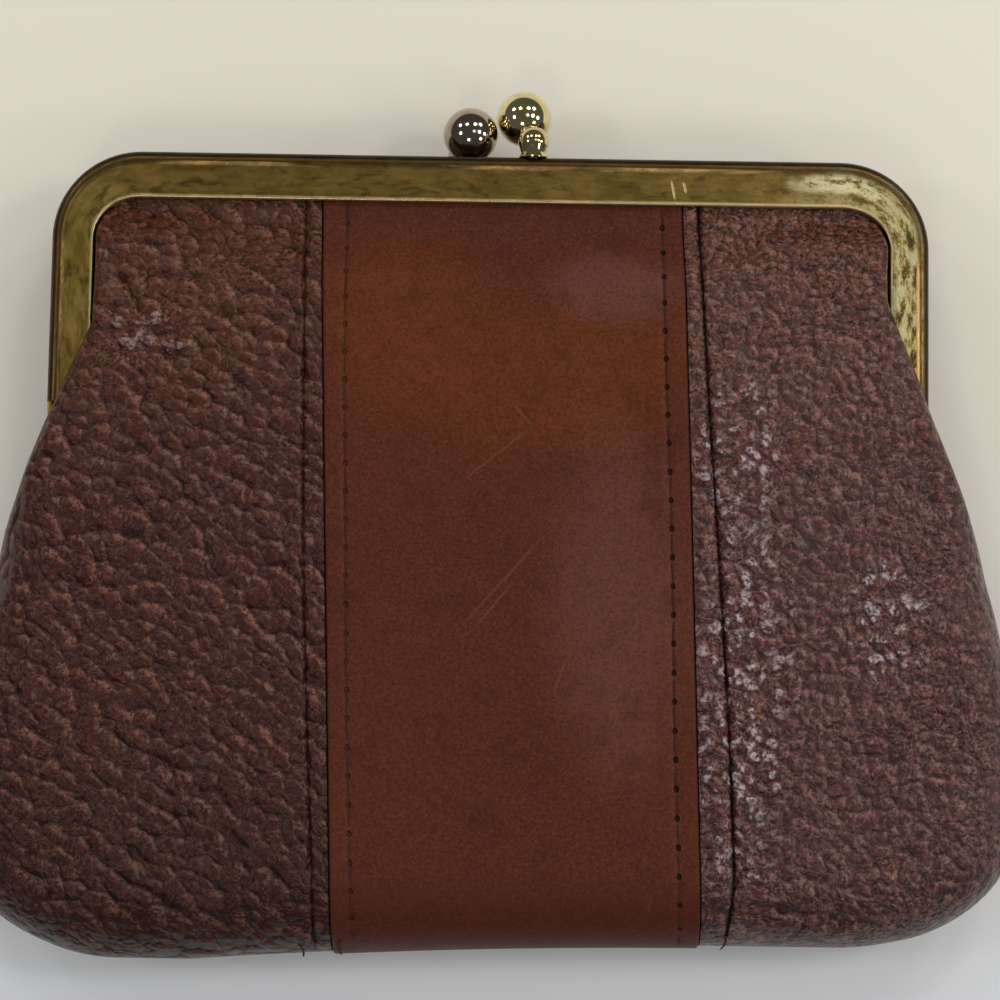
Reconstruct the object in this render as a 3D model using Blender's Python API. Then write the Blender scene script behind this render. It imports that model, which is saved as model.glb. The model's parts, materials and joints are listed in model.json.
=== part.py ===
"""Coin purse with a kiss lock frame, closed and lying on its back.

X runs along the purse's width, Y from the bottom of the bag to the clasp and Z
up through its thickness, in metres. The leather is pebbled at both sides, with a
smooth strip lapped over it down the middle, front and back. Two brass channels
hold the tops of the leather and turn on a rivet at each side. All shapes are
drawn from the middle of that hinge axis: x from the middle of the frame, y from
the axis, and height from the parting plane between the two halves.
"""

import math

import bmesh
import bpy
from mathutils import Matrix, Vector

# Brass frame: a channel bent to a U, open to the inside, one for each half
FRAME_WIDTH = 0.095
FRAME_HEIGHT = 0.031
FRAME_BAND = 0.0052
FRAME_DEPTH = 0.0046
FRAME_WALL = 0.0006
FRAME_CORNER = 0.0096
FRAME_EDGE_ROUND = 0.001
FRAME_LIP_ROUND = 0.0002
FRAME_PARTING_CHAMFER = 0.0003
LEG_END_Y = 0.0034
PARTING_GAP = 0.0003

# Hinge ears and rivets
EAR_RADIUS = 0.0026
EAR_THICKNESS = 0.0006
EAR_GAP = 0.0003
EAR_LAP = 0.001
JOGGLE_LENGTH = 0.002
RIVET_RADIUS = 0.0009
RIVET_CLEARANCE = 0.00015
RIVET_HEAD_RADIUS = 0.0017
RIVET_HEAD_RISE = 0.0005

# Clasp: a post through each top wall, with a bead and a leaning stem
POST_HEIGHT = 0.0032
POST_SHANK_RADIUS = 0.0008
POST_SHANK_REACH = 0.0008
POST_FIT = 0.00015
POST_FOOT_RADIUS = 0.0016
POST_NECK_RADIUS = 0.00135
POST_NECK_RISE = 0.0008
FRONT_POST_X = 0.0045
FRONT_BEAD_RISE = 0.0019
FRONT_BEAD_RADIUS = 0.0017
BACK_POST_X = -0.0034
BACK_BEAD_RISE = 0.0018
BACK_BEAD_RADIUS = 0.0015
STEM_RADIUS = 0.001
STEM_GRIP = 0.0013
BALL_RADIUS = 0.003
FRONT_BALL_X = 0.00345
FRONT_BALL_RISE = 0.0053
BACK_BALL_X = -0.0024
BACK_BALL_RISE = 0.0032
BALL_CROSSING = 0.0004

# Leather, lining and the paper strip that wedges them in the channel
LEATHER = 0.001
STRIP_PROUD = 0.0003
LAP_DROP = 0.0005
LAP_WIDTH = 0.003
LAP_STEP = 0.0003
LINING = 0.0004
SEAT_GAP = 0.0003
SLOT_GAP = 0.0002
PACKING = 0.0008
PACKING_END_GAP = 0.0003
PACKING_WIDTH = 0.0033
TONGUE_INSET = 0.0019

# Outline of the bag, below and above the hinge axis
BODY_HALF_WIDTH = 0.0563
BODY_LENGTH = 0.0541
BODY_SHIFT = 0.0007
SHIFT_START_Y = 0.005
SHIFT_LENGTH = 0.02
WIDEST_Y = -0.033
BOTTOM_TAPER = 0.0015
BOTTOM_RISE_SHARE = 0.031
BOTTOM_SAG = 0.0014
BOTTOM_SAG_REACH = 0.045
BOTTOM_LEFT_X = -0.031
BOTTOM_RIGHT_X = 0.029
LEFT_CORNER_WIDTH = 0.0155
RIGHT_CORNER_WIDTH = 0.018
CORNER_LENGTH = 0.011
HINGE_HALF_WIDTH = 0.0486
FOLD_CLEARANCE = 0.0005
LEAVE_ANGLE = math.radians(36)
LEAVE_LAP = 0.00015

# Thickness of the bag, measured from the parting plane
FRONT_SWELL = 0.0072
BACK_SWELL = 0.0077
RISE_START = 0.0008
RISE_LENGTH = 0.0042
FRONT_SWELL_LENGTH = 0.035
BACK_SWELL_LENGTH = 0.006
NOTCH_TOP_Y = -0.0032
NOTCH_LENGTH = 0.012

# Centre strip
STRIP_TOP_X = 0.0011
STRIP_BOTTOM_X = 0.0039
STRIP_TOP_WIDTH = 0.039
STRIP_BOTTOM_WIDTH = 0.0388

# Lining: where the upper front piece ends and the lower one begins
UPPER_LINING_END_Y = 0.001
LINING_SWING_GAP = 0.0005

# Steps of the meshes
CORNER_STEPS = 8
EDGE_STEPS = 3
ROUND_STEPS = 24
BALL_RINGS = 10
ROLL_STEPS = 4
SETTLING_STEPS = 6
TONGUE_SHARES = (0.0, 0.5, 1.0)
RISE_SHARES = (0.22, 0.48, 0.74, 1.0)
LEG_SHARES = (0.17, 0.4, 0.65, 0.85, 1.0)
NOTCH_SHARES = (0.3, 0.65, 1.0)
BODY_SHARES = (0.27, 0.6)
PANEL_SHARES = (0.34, 0.68)
STRIP_SHARES = (0.33, 0.67)

# Places that follow from the sizes above
HALF_WIDTH = FRAME_WIDTH / 2
HALF_GAP = PARTING_GAP / 2
CORNER_X = HALF_WIDTH - FRAME_CORNER
CORNER_Y = FRAME_HEIGHT - FRAME_CORNER
INNER_CORNER = FRAME_CORNER - FRAME_BAND
FACE_HEIGHT = HALF_GAP + FRAME_DEPTH
LEG_COVER = FACE_HEIGHT + SEAT_GAP
SLOT_BOTTOM = HALF_GAP + FRAME_WALL
PACKING_BOTTOM = SLOT_BOTTOM + SLOT_GAP
LINING_BOTTOM = PACKING_BOTTOM + PACKING + SLOT_GAP
TONGUE_LEVEL = LINING_BOTTOM + LINING + SEAT_GAP + LEATHER
TONGUE_TOP_Y = FRAME_HEIGHT - TONGUE_INSET
LEAVE_X = CORNER_X + (INNER_CORNER + LEAVE_LAP) * math.cos(LEAVE_ANGLE)
LEAVE_Y = CORNER_Y + (INNER_CORNER + LEAVE_LAP) * math.sin(LEAVE_ANGLE)
FOLD_X = HALF_WIDTH - FRAME_BAND - FOLD_CLEARANCE
RISE_Y = FRAME_HEIGHT - FRAME_BAND - RISE_START
COVER_Y = RISE_Y - RISE_LENGTH
COVER_LEVEL = LEG_COVER + LEATHER + FRAME_PARTING_CHAMFER / 4
NOTCH_END_Y = NOTCH_TOP_Y - NOTCH_LENGTH
LINING_INSET = LEATHER + SEAT_GAP
LOWEST_SAG = BOTTOM_SAG * ((BOTTOM_LEFT_X - STRIP_BOTTOM_X) / BOTTOM_SAG_REACH) ** 2
LOWEST_Y = -BODY_LENGTH + BOTTOM_RISE_SHARE * BOTTOM_LEFT_X - LOWEST_SAG
HIGHEST_Y = FRAME_HEIGHT + FRONT_BALL_RISE + BALL_RADIUS

# The model's origin is under the middle of the whole purse
HINGE = Vector((-BODY_SHIFT, -(HIGHEST_Y + LOWEST_Y) / 2, BACK_SWELL + STRIP_PROUD))

FRONT = 1
BACK = -1
LEFT = -1
RIGHT = 1


def clear_scene():
    """Remove every object that the open file holds."""
    for thing in list(bpy.data.objects):
        bpy.data.objects.remove(thing, do_unlink=True)


def make_material(name, colour, metallic, roughness):
    """Make a plain Principled material."""
    material = bpy.data.materials.new(name)
    material.use_nodes = True
    shader = material.node_tree.nodes["Principled BSDF"]
    shader.inputs["Base Color"].default_value = (*colour, 1.0)
    shader.inputs["Metallic"].default_value = metallic
    shader.inputs["Roughness"].default_value = roughness
    material.diffuse_color = (*colour, 1.0)
    return material


def add_object(name, mesh_data, material, parent):
    """Turn a bmesh into an object whose origin is on the hinge axis."""
    bmesh.ops.recalc_face_normals(mesh_data, faces=mesh_data.faces[:])
    mesh = bpy.data.meshes.new(name)
    mesh_data.to_mesh(mesh)
    mesh_data.free()
    mesh.shade_smooth()
    mesh.set_sharp_from_angle(angle=math.radians(40))
    mesh.materials.append(material)
    thing = bpy.data.objects.new(name, mesh)
    thing.parent = parent
    bpy.context.scene.collection.objects.link(thing)
    return thing


def add_axis(name):
    """Add an empty in the middle of the hinge axis."""
    empty = bpy.data.objects.new(name, None)
    empty.location = HINGE
    bpy.context.scene.collection.objects.link(empty)
    return empty


def shape_with(thing, operation, mesh_data, name, parent):
    """Join a helper shape to an object, or cut it out."""
    helper = add_object(name, mesh_data, thing.data.materials[0], parent)
    helper.hide_render = True
    helper.display_type = "WIRE"
    step = thing.modifiers.new(name, "BOOLEAN")
    step.object = helper
    step.operation = operation
    step.solver = "EXACT"


def smooth(share):
    """Ease a share between 0 and 1, level at both ends."""
    held = min(max(share, 0.0), 1.0)
    return held * held * (3.0 - 2.0 * held)


def blend(share, start, end):
    """Go from start to end by a share."""
    return start + (end - start) * share


def between(y, low_y, high_y, low_value, high_value):
    """Read a straight line between two places at y."""
    return blend((y - low_y) / (high_y - low_y), low_value, high_value)


def half_width_at(y):
    """Half the width of the leather at y, from tongue to bottom."""
    if y >= LEAVE_Y:
        return between(y, LEAVE_Y, TONGUE_TOP_Y, LEAVE_X, CORNER_X)
    if y >= CORNER_Y:
        return between(y, CORNER_Y, LEAVE_Y, FOLD_X, LEAVE_X)
    if y >= 0.0:
        return between(y, 0.0, CORNER_Y, HINGE_HALF_WIDTH, FOLD_X)
    if y >= WIDEST_Y:
        swell = math.sin(0.5 * math.pi * y / WIDEST_Y)
        return blend(swell, HINGE_HALF_WIDTH, BODY_HALF_WIDTH)
    share = (WIDEST_Y - y) / (WIDEST_Y + BODY_LENGTH)
    return BODY_HALF_WIDTH - BOTTOM_TAPER * share * share


def shift_at(y):
    """How far the bag's middle lies to the right of the frame's at y."""
    return BODY_SHIFT * smooth((SHIFT_START_Y - y) / SHIFT_LENGTH)


def bottom_at(x):
    """Place of the bag's lower edge at x, level at its two ends."""
    held = min(max(x, BOTTOM_LEFT_X), BOTTOM_RIGHT_X)
    sag = BOTTOM_SAG * ((held - STRIP_BOTTOM_X) / BOTTOM_SAG_REACH) ** 2
    return -BODY_LENGTH + BOTTOM_RISE_SHARE * held - sag


def corner_of(side, inset):
    """Width and length of the bag's rounded lower corner at a side."""
    width = LEFT_CORNER_WIDTH if side == LEFT else RIGHT_CORNER_WIDTH
    return width - inset, CORNER_LENGTH - inset


def strip_edge_at(side, y):
    """Place of the centre strip's edge at y."""
    share = (TONGUE_TOP_Y - y) / (TONGUE_TOP_Y + BODY_LENGTH)
    middle = blend(share, STRIP_TOP_X, STRIP_BOTTOM_X)
    return middle + side * blend(share, STRIP_TOP_WIDTH, STRIP_BOTTOM_WIDTH) / 2


def crown_at(y, face):
    """Height of the leather's outer face at y, away from its edges."""
    level = blend(smooth((RISE_Y - y) / RISE_LENGTH), TONGUE_LEVEL, COVER_LEVEL)
    if y >= COVER_Y:
        return level
    if face == FRONT:
        share = min((COVER_Y - y) / FRONT_SWELL_LENGTH, 1.0)
        return blend(math.sin(0.5 * math.pi * share), COVER_LEVEL, FRONT_SWELL)
    return blend(smooth((COVER_Y - y) / BACK_SWELL_LENGTH), COVER_LEVEL, BACK_SWELL)


def floor_at(y, crown):
    """Height of the leather's edge at y, over the legs or at the side seam."""
    opened = smooth((NOTCH_TOP_Y - y) / NOTCH_LENGTH)
    return min(crown, blend(opened, LEG_COVER, HALF_GAP))


def roll_at(y, face, inset):
    """Lowest height and depth of the rounded edge at y."""
    crown = crown_at(y, face)
    floor = min(floor_at(y, crown), crown - inset)
    return floor, max(crown - inset - floor, 0.0)


def edge_distance(x, y, side, inset):
    """Distance from the bag's outline, inward, at a place on one side."""
    across = half_width_at(y) - inset - side * (x - shift_at(y))
    along = y - bottom_at(x) - inset
    width, length = corner_of(side, inset)
    if across < width and along < length:
        reach = math.hypot(width - across, length - along)
        share = math.hypot(1.0 - across / width, 1.0 - along / length)
        return reach * (1.0 - share) / share
    return min(across, along)


def skin_height(x, y, side, face, inset):
    """Height of the bag's skin at a place, moved inward by an inset."""
    floor, roll = roll_at(y, face, inset)
    distance = max(edge_distance(x, y, side, inset), 0.0)
    if roll <= 0.0 or distance >= roll:
        return floor + roll
    share = 1.0 - distance / roll
    return floor + roll * math.sqrt(1.0 - share * share)


def row_places(start_y, face, inset, x):
    """Places along Y where a sheet has its rows, top to bottom, at x."""
    places = [blend(share, TONGUE_TOP_Y - inset, RISE_Y) for share in TONGUE_SHARES]
    places += [blend(share, RISE_Y, COVER_Y) for share in RISE_SHARES]
    places += [blend(share, COVER_Y, NOTCH_TOP_Y) for share in LEG_SHARES]
    places += [blend(share, NOTCH_TOP_Y, NOTCH_END_Y) for share in NOTCH_SHARES]
    bottom = bottom_at(x) + inset
    roll = roll_at(bottom, face, inset)[1]
    body_end = bottom + roll
    places += [blend(share, NOTCH_END_Y, body_end) for share in BODY_SHARES]
    for step in range(ROLL_STEPS + 1):
        angle = 0.5 * math.pi * step / ROLL_STEPS
        places.append(bottom + roll * (1.0 - math.sin(angle)))
    if start_y is None:
        return places
    return [start_y] + [place for place in places if place < start_y]


def cut_corner(y, side, inset):
    """How far the rounded lower corner draws the outline in at y."""
    width, length = corner_of(side, inset)
    bottom = bottom_at(side * BODY_HALF_WIDTH) + inset
    share = min(max(1.0 - (y - bottom) / length, 0.0), 1.0)
    return width * (1.0 - math.sqrt(1.0 - share * share))


def rolled_x(y, side, face, inset, turn):
    """Place across the rounded side edge, from 0 at the outline to 1."""
    roll = roll_at(y, face, inset)[1]
    edge = half_width_at(y) - inset - cut_corner(y, side, inset)
    inner = roll * (1.0 - math.cos(0.5 * math.pi * turn))
    return side * (edge - inner) + shift_at(y)


def panel_columns(side):
    """Columns of a side panel: where each lies, and how deep its outer face is."""
    columns = []
    for step in range(ROLL_STEPS + 1):
        columns.append(("roll", step / ROLL_STEPS, 0.0))
    for share in PANEL_SHARES:
        columns.append(("share", share, 0.0))
    columns.append(("strip", SEAT_GAP + LAP_STEP, 0.0))
    columns.append(("strip", SEAT_GAP, LAP_DROP))
    columns.append(("strip", -LAP_WIDTH, LAP_DROP))
    return columns


def column_x(column, y, side, face, inset):
    """Place of a side panel's column at y."""
    kind, value, _ = column
    if kind == "roll":
        return rolled_x(y, side, face, inset, value)
    lap_x = strip_edge_at(side, y) + side * (SEAT_GAP + LAP_STEP)
    if kind == "share":
        return blend(value, rolled_x(y, side, face, inset, 1.0), lap_x)
    return strip_edge_at(side, y) + side * value


def end_of(place_at, inset):
    """Place across where a column meets the lower edge, found in steps."""
    end_x = place_at(WIDEST_Y)
    for _ in range(SETTLING_STEPS):
        end_x = (end_x + place_at(bottom_at(end_x) + inset)) / 2
    return end_x


def panel_grid(side, face, columns, inset, inner):
    """Grid of points on one face of a side panel."""
    lines = []
    for column in columns:
        depth = inset if inner else column[2]
        end_x = end_of(lambda y: column_x(column, y, side, face, depth), depth)
        line = []
        rows = row_places(None, face, depth, end_x)
        for y in rows:
            x = column_x(column, y, side, face, depth)
            height = skin_height(x, y, side, face, depth)
            if y == rows[-1]:
                height = roll_at(y, face, depth)[0]
            line.append(Vector((x, y, face * height)))
        lines.append(line)
    return lines


def strip_columns():
    """Columns of the centre strip: share of its width, offset and inner depth."""
    lap_end = LAP_WIDTH + SLOT_GAP
    columns = [(0.0, 0.0, SEAT_GAP), (0.0, lap_end, SEAT_GAP)]
    columns.append((0.0, lap_end + LAP_STEP, LEATHER))
    columns += [(share, 0.0, LEATHER) for share in STRIP_SHARES]
    columns.append((1.0, -lap_end - LAP_STEP, LEATHER))
    columns += [(1.0, -lap_end, SEAT_GAP), (1.0, 0.0, SEAT_GAP)]
    return columns


def strip_grid(face, inner):
    """Grid of points on one face of the centre strip."""
    lines = []
    for share, offset, depth in strip_columns():
        inset = depth if inner else -STRIP_PROUD
        row_x = blend(share, strip_edge_at(LEFT, 0.0), strip_edge_at(RIGHT, 0.0))
        line = []
        for y in row_places(None, face, inset, row_x + offset):
            edges = (strip_edge_at(LEFT, y), strip_edge_at(RIGHT, y))
            x = blend(share, *edges) + offset
            side = LEFT if x < 0.0 else RIGHT
            height = skin_height(x, y, side, face, inset)
            line.append(Vector((x, y, face * height)))
        lines.append(line)
    return lines


def lining_x(y, side, value, face, inset):
    """Place of a lining's column at y, on a side edge or between the two."""
    if side != 0:
        return rolled_x(y, side, face, inset, value)
    ends = [rolled_x(y, s, face, inset, 1.0) for s in (LEFT, RIGHT)]
    return blend(value, *ends)


def lining_grid(face, inset, start_y, end_y):
    """Grid of points on one face of the lining."""
    columns = [(LEFT, step / ROLL_STEPS) for step in range(ROLL_STEPS + 1)]
    columns += [(0, share) for share in STRIP_SHARES]
    columns += [(RIGHT, 1.0 - step / ROLL_STEPS) for step in range(ROLL_STEPS + 1)]
    lines = []
    for side, value in columns:
        end_x = end_of(lambda y: lining_x(y, side, value, face, inset), inset)
        rows = row_places(start_y, face, inset, end_x)
        bottom = rows[-1]
        if end_y is not None:
            rows = [y for y in rows if y > end_y] + [end_y]
        line = []
        for y in rows:
            x = lining_x(y, side, value, face, inset)
            near = side if side != 0 else (LEFT if x < 0.0 else RIGHT)
            height = skin_height(x, y, near, face, inset)
            if y == bottom:
                height = roll_at(y, face, inset)[0]
            line.append(Vector((x, y, face * height)))
        lines.append(line)
    return lines


def close_sheet(outer, inner):
    """Join two grids of the same size into one closed sheet."""
    mesh_data = bmesh.new()
    grids = [[[mesh_data.verts.new(p) for p in line] for line in grid] for grid in (outer, inner)]
    last_column = len(outer) - 1
    last_row = len(outer[0]) - 1
    for grid in grids:
        for c in range(last_column):
            for r in range(last_row):
                corners = (grid[c][r], grid[c + 1][r], grid[c + 1][r + 1], grid[c][r + 1])
                mesh_data.faces.new(corners)
    rim = [(c, 0) for c in range(last_column)]
    rim += [(last_column, r) for r in range(last_row)]
    rim += [(c, last_row) for c in range(last_column, 0, -1)]
    rim += [(0, r) for r in range(last_row, 0, -1)]
    for place, following in zip(rim, rim[1:] + rim[:1]):
        (c, r), (d, s) = place, following
        mesh_data.faces.new((grids[0][c][r], grids[0][d][s], grids[1][d][s], grids[1][c][r]))
    return mesh_data


def add_panel(name, side, face, material, parent):
    """Add one pebbled side panel, its tongue in the frame's channel."""
    columns = panel_columns(side)
    outer = panel_grid(side, face, columns, 0.0, False)
    inner = panel_grid(side, face, columns, LEATHER, True)
    return add_object(name, close_sheet(outer, inner), material, parent)


def add_strip(name, face, material, parent):
    """Add a smooth centre strip, lapped over the side panels."""
    sheet = close_sheet(strip_grid(face, False), strip_grid(face, True))
    return add_object(name, sheet, material, parent)


def add_lining(name, face, start_y, end_y, material, parent):
    """Add a piece of lining behind the leather."""
    outer = lining_grid(face, LINING_INSET, start_y, end_y)
    inner = lining_grid(face, LINING_INSET + LINING, start_y, end_y)
    return add_object(name, close_sheet(outer, inner), material, parent)


def frame_stations(leg_end_y, first_angle):
    """Stations around the U of the frame: corner centre, direction and lift."""
    stations = []
    if leg_end_y is not None:
        stations.append((LEFT, math.pi, leg_end_y))
    for side in (LEFT, RIGHT):
        for step in range(CORNER_STEPS + 1):
            share = step / CORNER_STEPS
            turn = share if side == RIGHT else 1.0 - share
            angle = blend(turn, 0.5 * math.pi, first_angle)
            angle = angle if side == RIGHT else math.pi - angle
            stations.append((side, angle, CORNER_Y))
    if leg_end_y is not None:
        stations.append((RIGHT, 0.0, leg_end_y))
    return stations


def sweep_frame(section, stations, face):
    """Sweep a section of (inset, height) points around the frame."""
    mesh_data = bmesh.new()
    rings = []
    for side, angle, centre_y in stations:
        ring = []
        for inset, height in section:
            reach = FRAME_CORNER - inset
            x = side * CORNER_X + reach * math.cos(angle)
            y = centre_y + reach * math.sin(angle)
            ring.append(mesh_data.verts.new((x, y, face * height)))
        rings.append(ring)
    count = len(section)
    for ring, following in zip(rings, rings[1:]):
        for i in range(count):
            j = (i + 1) % count
            mesh_data.faces.new((ring[i], ring[j], following[j], following[i]))
    mesh_data.faces.new(rings[0])
    mesh_data.faces.new(rings[-1])
    return mesh_data


def channel_section():
    """Outline of the brass channel, from its parting corner round to its back."""
    wall_top = FACE_HEIGHT - FRAME_EDGE_ROUND
    points = [(0.0, HALF_GAP + FRAME_PARTING_CHAMFER), (0.0, wall_top)]
    for step in range(1, EDGE_STEPS + 1):
        angle = 0.5 * math.pi * step / EDGE_STEPS
        inset = FRAME_EDGE_ROUND * (1.0 - math.cos(angle))
        points.append((inset, wall_top + FRAME_EDGE_ROUND * math.sin(angle)))
    points.append((FRAME_BAND - FRAME_LIP_ROUND, FACE_HEIGHT))
    points.append((FRAME_BAND, FACE_HEIGHT - FRAME_LIP_ROUND))
    points.append((FRAME_BAND, FACE_HEIGHT - FRAME_WALL))
    points.append((FRAME_WALL, FACE_HEIGHT - FRAME_WALL))
    points.append((FRAME_WALL, SLOT_BOTTOM))
    points.append((FRAME_BAND, SLOT_BOTTOM))
    points.append((FRAME_BAND, HALF_GAP))
    points.append((FRAME_PARTING_CHAMFER, HALF_GAP))
    return points


def hull_of(points):
    """Make the convex solid around a set of points."""
    mesh_data = bmesh.new()
    for point in points:
        mesh_data.verts.new(point)
    found = bmesh.ops.convex_hull(mesh_data, input=mesh_data.verts[:])
    spare = [e for e in found["geom_interior"] if isinstance(e, bmesh.types.BMVert)]
    bmesh.ops.delete(mesh_data, geom=spare, context="VERTS")
    return mesh_data


def ear_points(side, inner_x, outer_x):
    """Points of an ear's round end, on the hinge axis."""
    points = []
    for step in range(ROUND_STEPS):
        angle = 2.0 * math.pi * step / ROUND_STEPS
        y = EAR_RADIUS * math.cos(angle)
        height = EAR_RADIUS * math.sin(angle)
        points += [Vector((side * x, y, height)) for x in (inner_x, outer_x)]
    return points


def ear(side, face):
    """Ear of one frame: a round end on the hinge axis, and a neck to its leg."""
    outer_x = HALF_WIDTH if face == FRONT else HALF_WIDTH - EAR_THICKNESS - EAR_GAP
    inner_x = outer_x - EAR_THICKNESS
    points = ear_points(side, inner_x, outer_x)
    low = HALF_GAP + FRAME_PARTING_CHAMFER
    high = FACE_HEIGHT - FRAME_EDGE_ROUND
    corners = [(LEG_END_Y, low), (LEG_END_Y, high)]
    corners += [(LEG_END_Y + EAR_LAP, blend(0.5, low, high)), (LEG_END_Y + EAR_LAP, high)]
    for y, height in corners:
        points += [Vector((side * x, y, face * height)) for x in (inner_x, outer_x)]
    return hull_of(points)


def joggle(side):
    """Step that joins the back ear to the outer wall of its channel."""
    start_x = HALF_WIDTH - EAR_THICKNESS * 2 - EAR_GAP
    end_x = HALF_WIDTH - FRAME_WALL / 2
    start_y = LEG_END_Y + EAR_LAP / 2
    points = []
    for height in (HALF_GAP + FRAME_WALL / 2, FACE_HEIGHT - FRAME_WALL / 2):
        for y in (start_y, start_y + JOGGLE_LENGTH):
            points += [Vector((side * x, y, -height)) for x in (start_x, end_x)]
    return hull_of(points)


def turn_profile(profile, place, along):
    """Turn a closed profile of (distance, radius) points around an axis."""
    mesh_data = bmesh.new()
    verts = [mesh_data.verts.new((radius, 0.0, distance)) for distance, radius in profile]
    edges = [mesh_data.edges.new(pair) for pair in zip(verts, verts[1:])]
    bmesh.ops.spin(
        mesh_data,
        geom=verts + edges,
        cent=(0.0, 0.0, 0.0),
        axis=(0.0, 0.0, 1.0),
        angle=2.0 * math.pi,
        steps=ROUND_STEPS,
        use_merge=True,
    )
    bmesh.ops.remove_doubles(mesh_data, verts=mesh_data.verts[:], dist=FRAME_WALL / 100)
    turned = Vector((0.0, 0.0, 1.0)).rotation_difference(along).to_matrix().to_4x4()
    bmesh.ops.transform(mesh_data, matrix=Matrix.Translation(place) @ turned, verts=mesh_data.verts[:])
    return mesh_data


def rod(radius, start, end):
    """Make a plain round rod between two places."""
    length = (end - start).length
    profile = [(0.0, 0.0), (0.0, radius), (length, radius), (length, 0.0)]
    return turn_profile(profile, start, (end - start).normalized())


def dome(radius, rise, start, direction):
    """Points of a domed rivet head, from its rim to its top."""
    points = []
    for step in range(1, EDGE_STEPS + 1):
        angle = 0.5 * math.pi * step / EDGE_STEPS
        points.append((start + direction * rise * math.sin(angle), radius * math.cos(angle)))
    return points


def add_rivet(name, side, material, parent):
    """Add a hinge rivet with a domed head on each side of the two ears."""
    inner_x = HALF_WIDTH - EAR_THICKNESS * 2 - EAR_GAP - RIVET_CLEARANCE
    outer_x = HALF_WIDTH + RIVET_CLEARANCE
    profile = [(inner_x, RIVET_HEAD_RADIUS)]
    profile = dome(RIVET_HEAD_RADIUS, RIVET_HEAD_RISE, inner_x, -1.0)[::-1] + profile
    profile += [(inner_x, RIVET_RADIUS), (outer_x, RIVET_RADIUS), (outer_x, RIVET_HEAD_RADIUS)]
    profile += dome(RIVET_HEAD_RADIUS, RIVET_HEAD_RISE, outer_x, 1.0)
    rivet = turn_profile(profile, Vector(), Vector((side, 0.0, 0.0)))
    return add_object(name, rivet, material, parent)


def clasp_places(face):
    """Places of a clasp's bead and ball, and the bead's radius."""
    if face == FRONT:
        bead = Vector((FRONT_POST_X, FRAME_HEIGHT + FRONT_BEAD_RISE, POST_HEIGHT))
        knob = Vector((FRONT_BALL_X, FRAME_HEIGHT + FRONT_BALL_RISE, -BALL_CROSSING))
        return bead, knob, FRONT_BEAD_RADIUS
    bead = Vector((BACK_POST_X, FRAME_HEIGHT + BACK_BEAD_RISE, -POST_HEIGHT))
    knob = Vector((BACK_BALL_X, FRAME_HEIGHT + BACK_BALL_RISE, BALL_CROSSING))
    return bead, knob, BACK_BEAD_RADIUS


def add_frame(name, face, material, parent):
    """Add one brass channel with its two ears and the clasp post's hole."""
    stations = frame_stations(LEG_END_Y, 0.0)
    frame = add_object(name, sweep_frame(channel_section(), stations, face), material, parent)
    hole_end = HALF_WIDTH + FRAME_WALL
    hole_start = HALF_WIDTH - FRAME_BAND
    for side, word in ((LEFT, "left"), (RIGHT, "right")):
        shape_with(frame, "UNION", ear(side, face), f"{name}_{word}_ear", parent)
        if face == BACK:
            shape_with(frame, "UNION", joggle(side), f"{name}_{word}_joggle", parent)
        ends = [Vector((side * x, 0.0, 0.0)) for x in (hole_start, hole_end)]
        hole = rod(RIVET_RADIUS + RIVET_CLEARANCE, *ends)
        shape_with(frame, "DIFFERENCE", hole, f"{name}_{word}_rivet_hole", parent)
    bead = clasp_places(face)[0]
    start = Vector((bead.x, FRAME_HEIGHT - FRAME_WALL * 2, bead.z))
    end = Vector((bead.x, FRAME_HEIGHT + FRAME_WALL, bead.z))
    hole = rod(POST_SHANK_RADIUS + POST_FIT, start, end)
    shape_with(frame, "DIFFERENCE", hole, f"{name}_post_hole", parent)
    return frame


def add_post(name, face, material, parent):
    """Add a clasp post: shank in the frame, foot, neck, bead and leaning stem."""
    bead, knob, bead_radius = clasp_places(face)
    foot = FRAME_HEIGHT + POST_FIT
    start = FRAME_HEIGHT - FRAME_WALL - POST_SHANK_REACH
    neck_y = foot + POST_NECK_RISE
    profile = [(start, 0.0), (start, POST_SHANK_RADIUS), (foot, POST_SHANK_RADIUS)]
    profile += [(foot, POST_FOOT_RADIUS), (neck_y, POST_NECK_RADIUS)]
    low = -math.acos(min(POST_NECK_RADIUS / bead_radius, 1.0))
    for step in range(1, BALL_RINGS + 1):
        angle = blend(step / BALL_RINGS, low, 0.5 * math.pi)
        radius = bead_radius * math.cos(angle) if step < BALL_RINGS else 0.0
        profile.append((max(bead.y + bead_radius * math.sin(angle), neck_y), radius))
    base = Vector((bead.x, 0.0, bead.z))
    post = add_object(name, turn_profile(profile, base, Vector((0.0, 1.0, 0.0))), material, parent)
    lean = (knob - bead).normalized()
    stem = rod(STEM_RADIUS, bead, knob - lean * (BALL_RADIUS - STEM_GRIP))
    shape_with(post, "UNION", stem, f"{name}_stem", parent)
    return post


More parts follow.
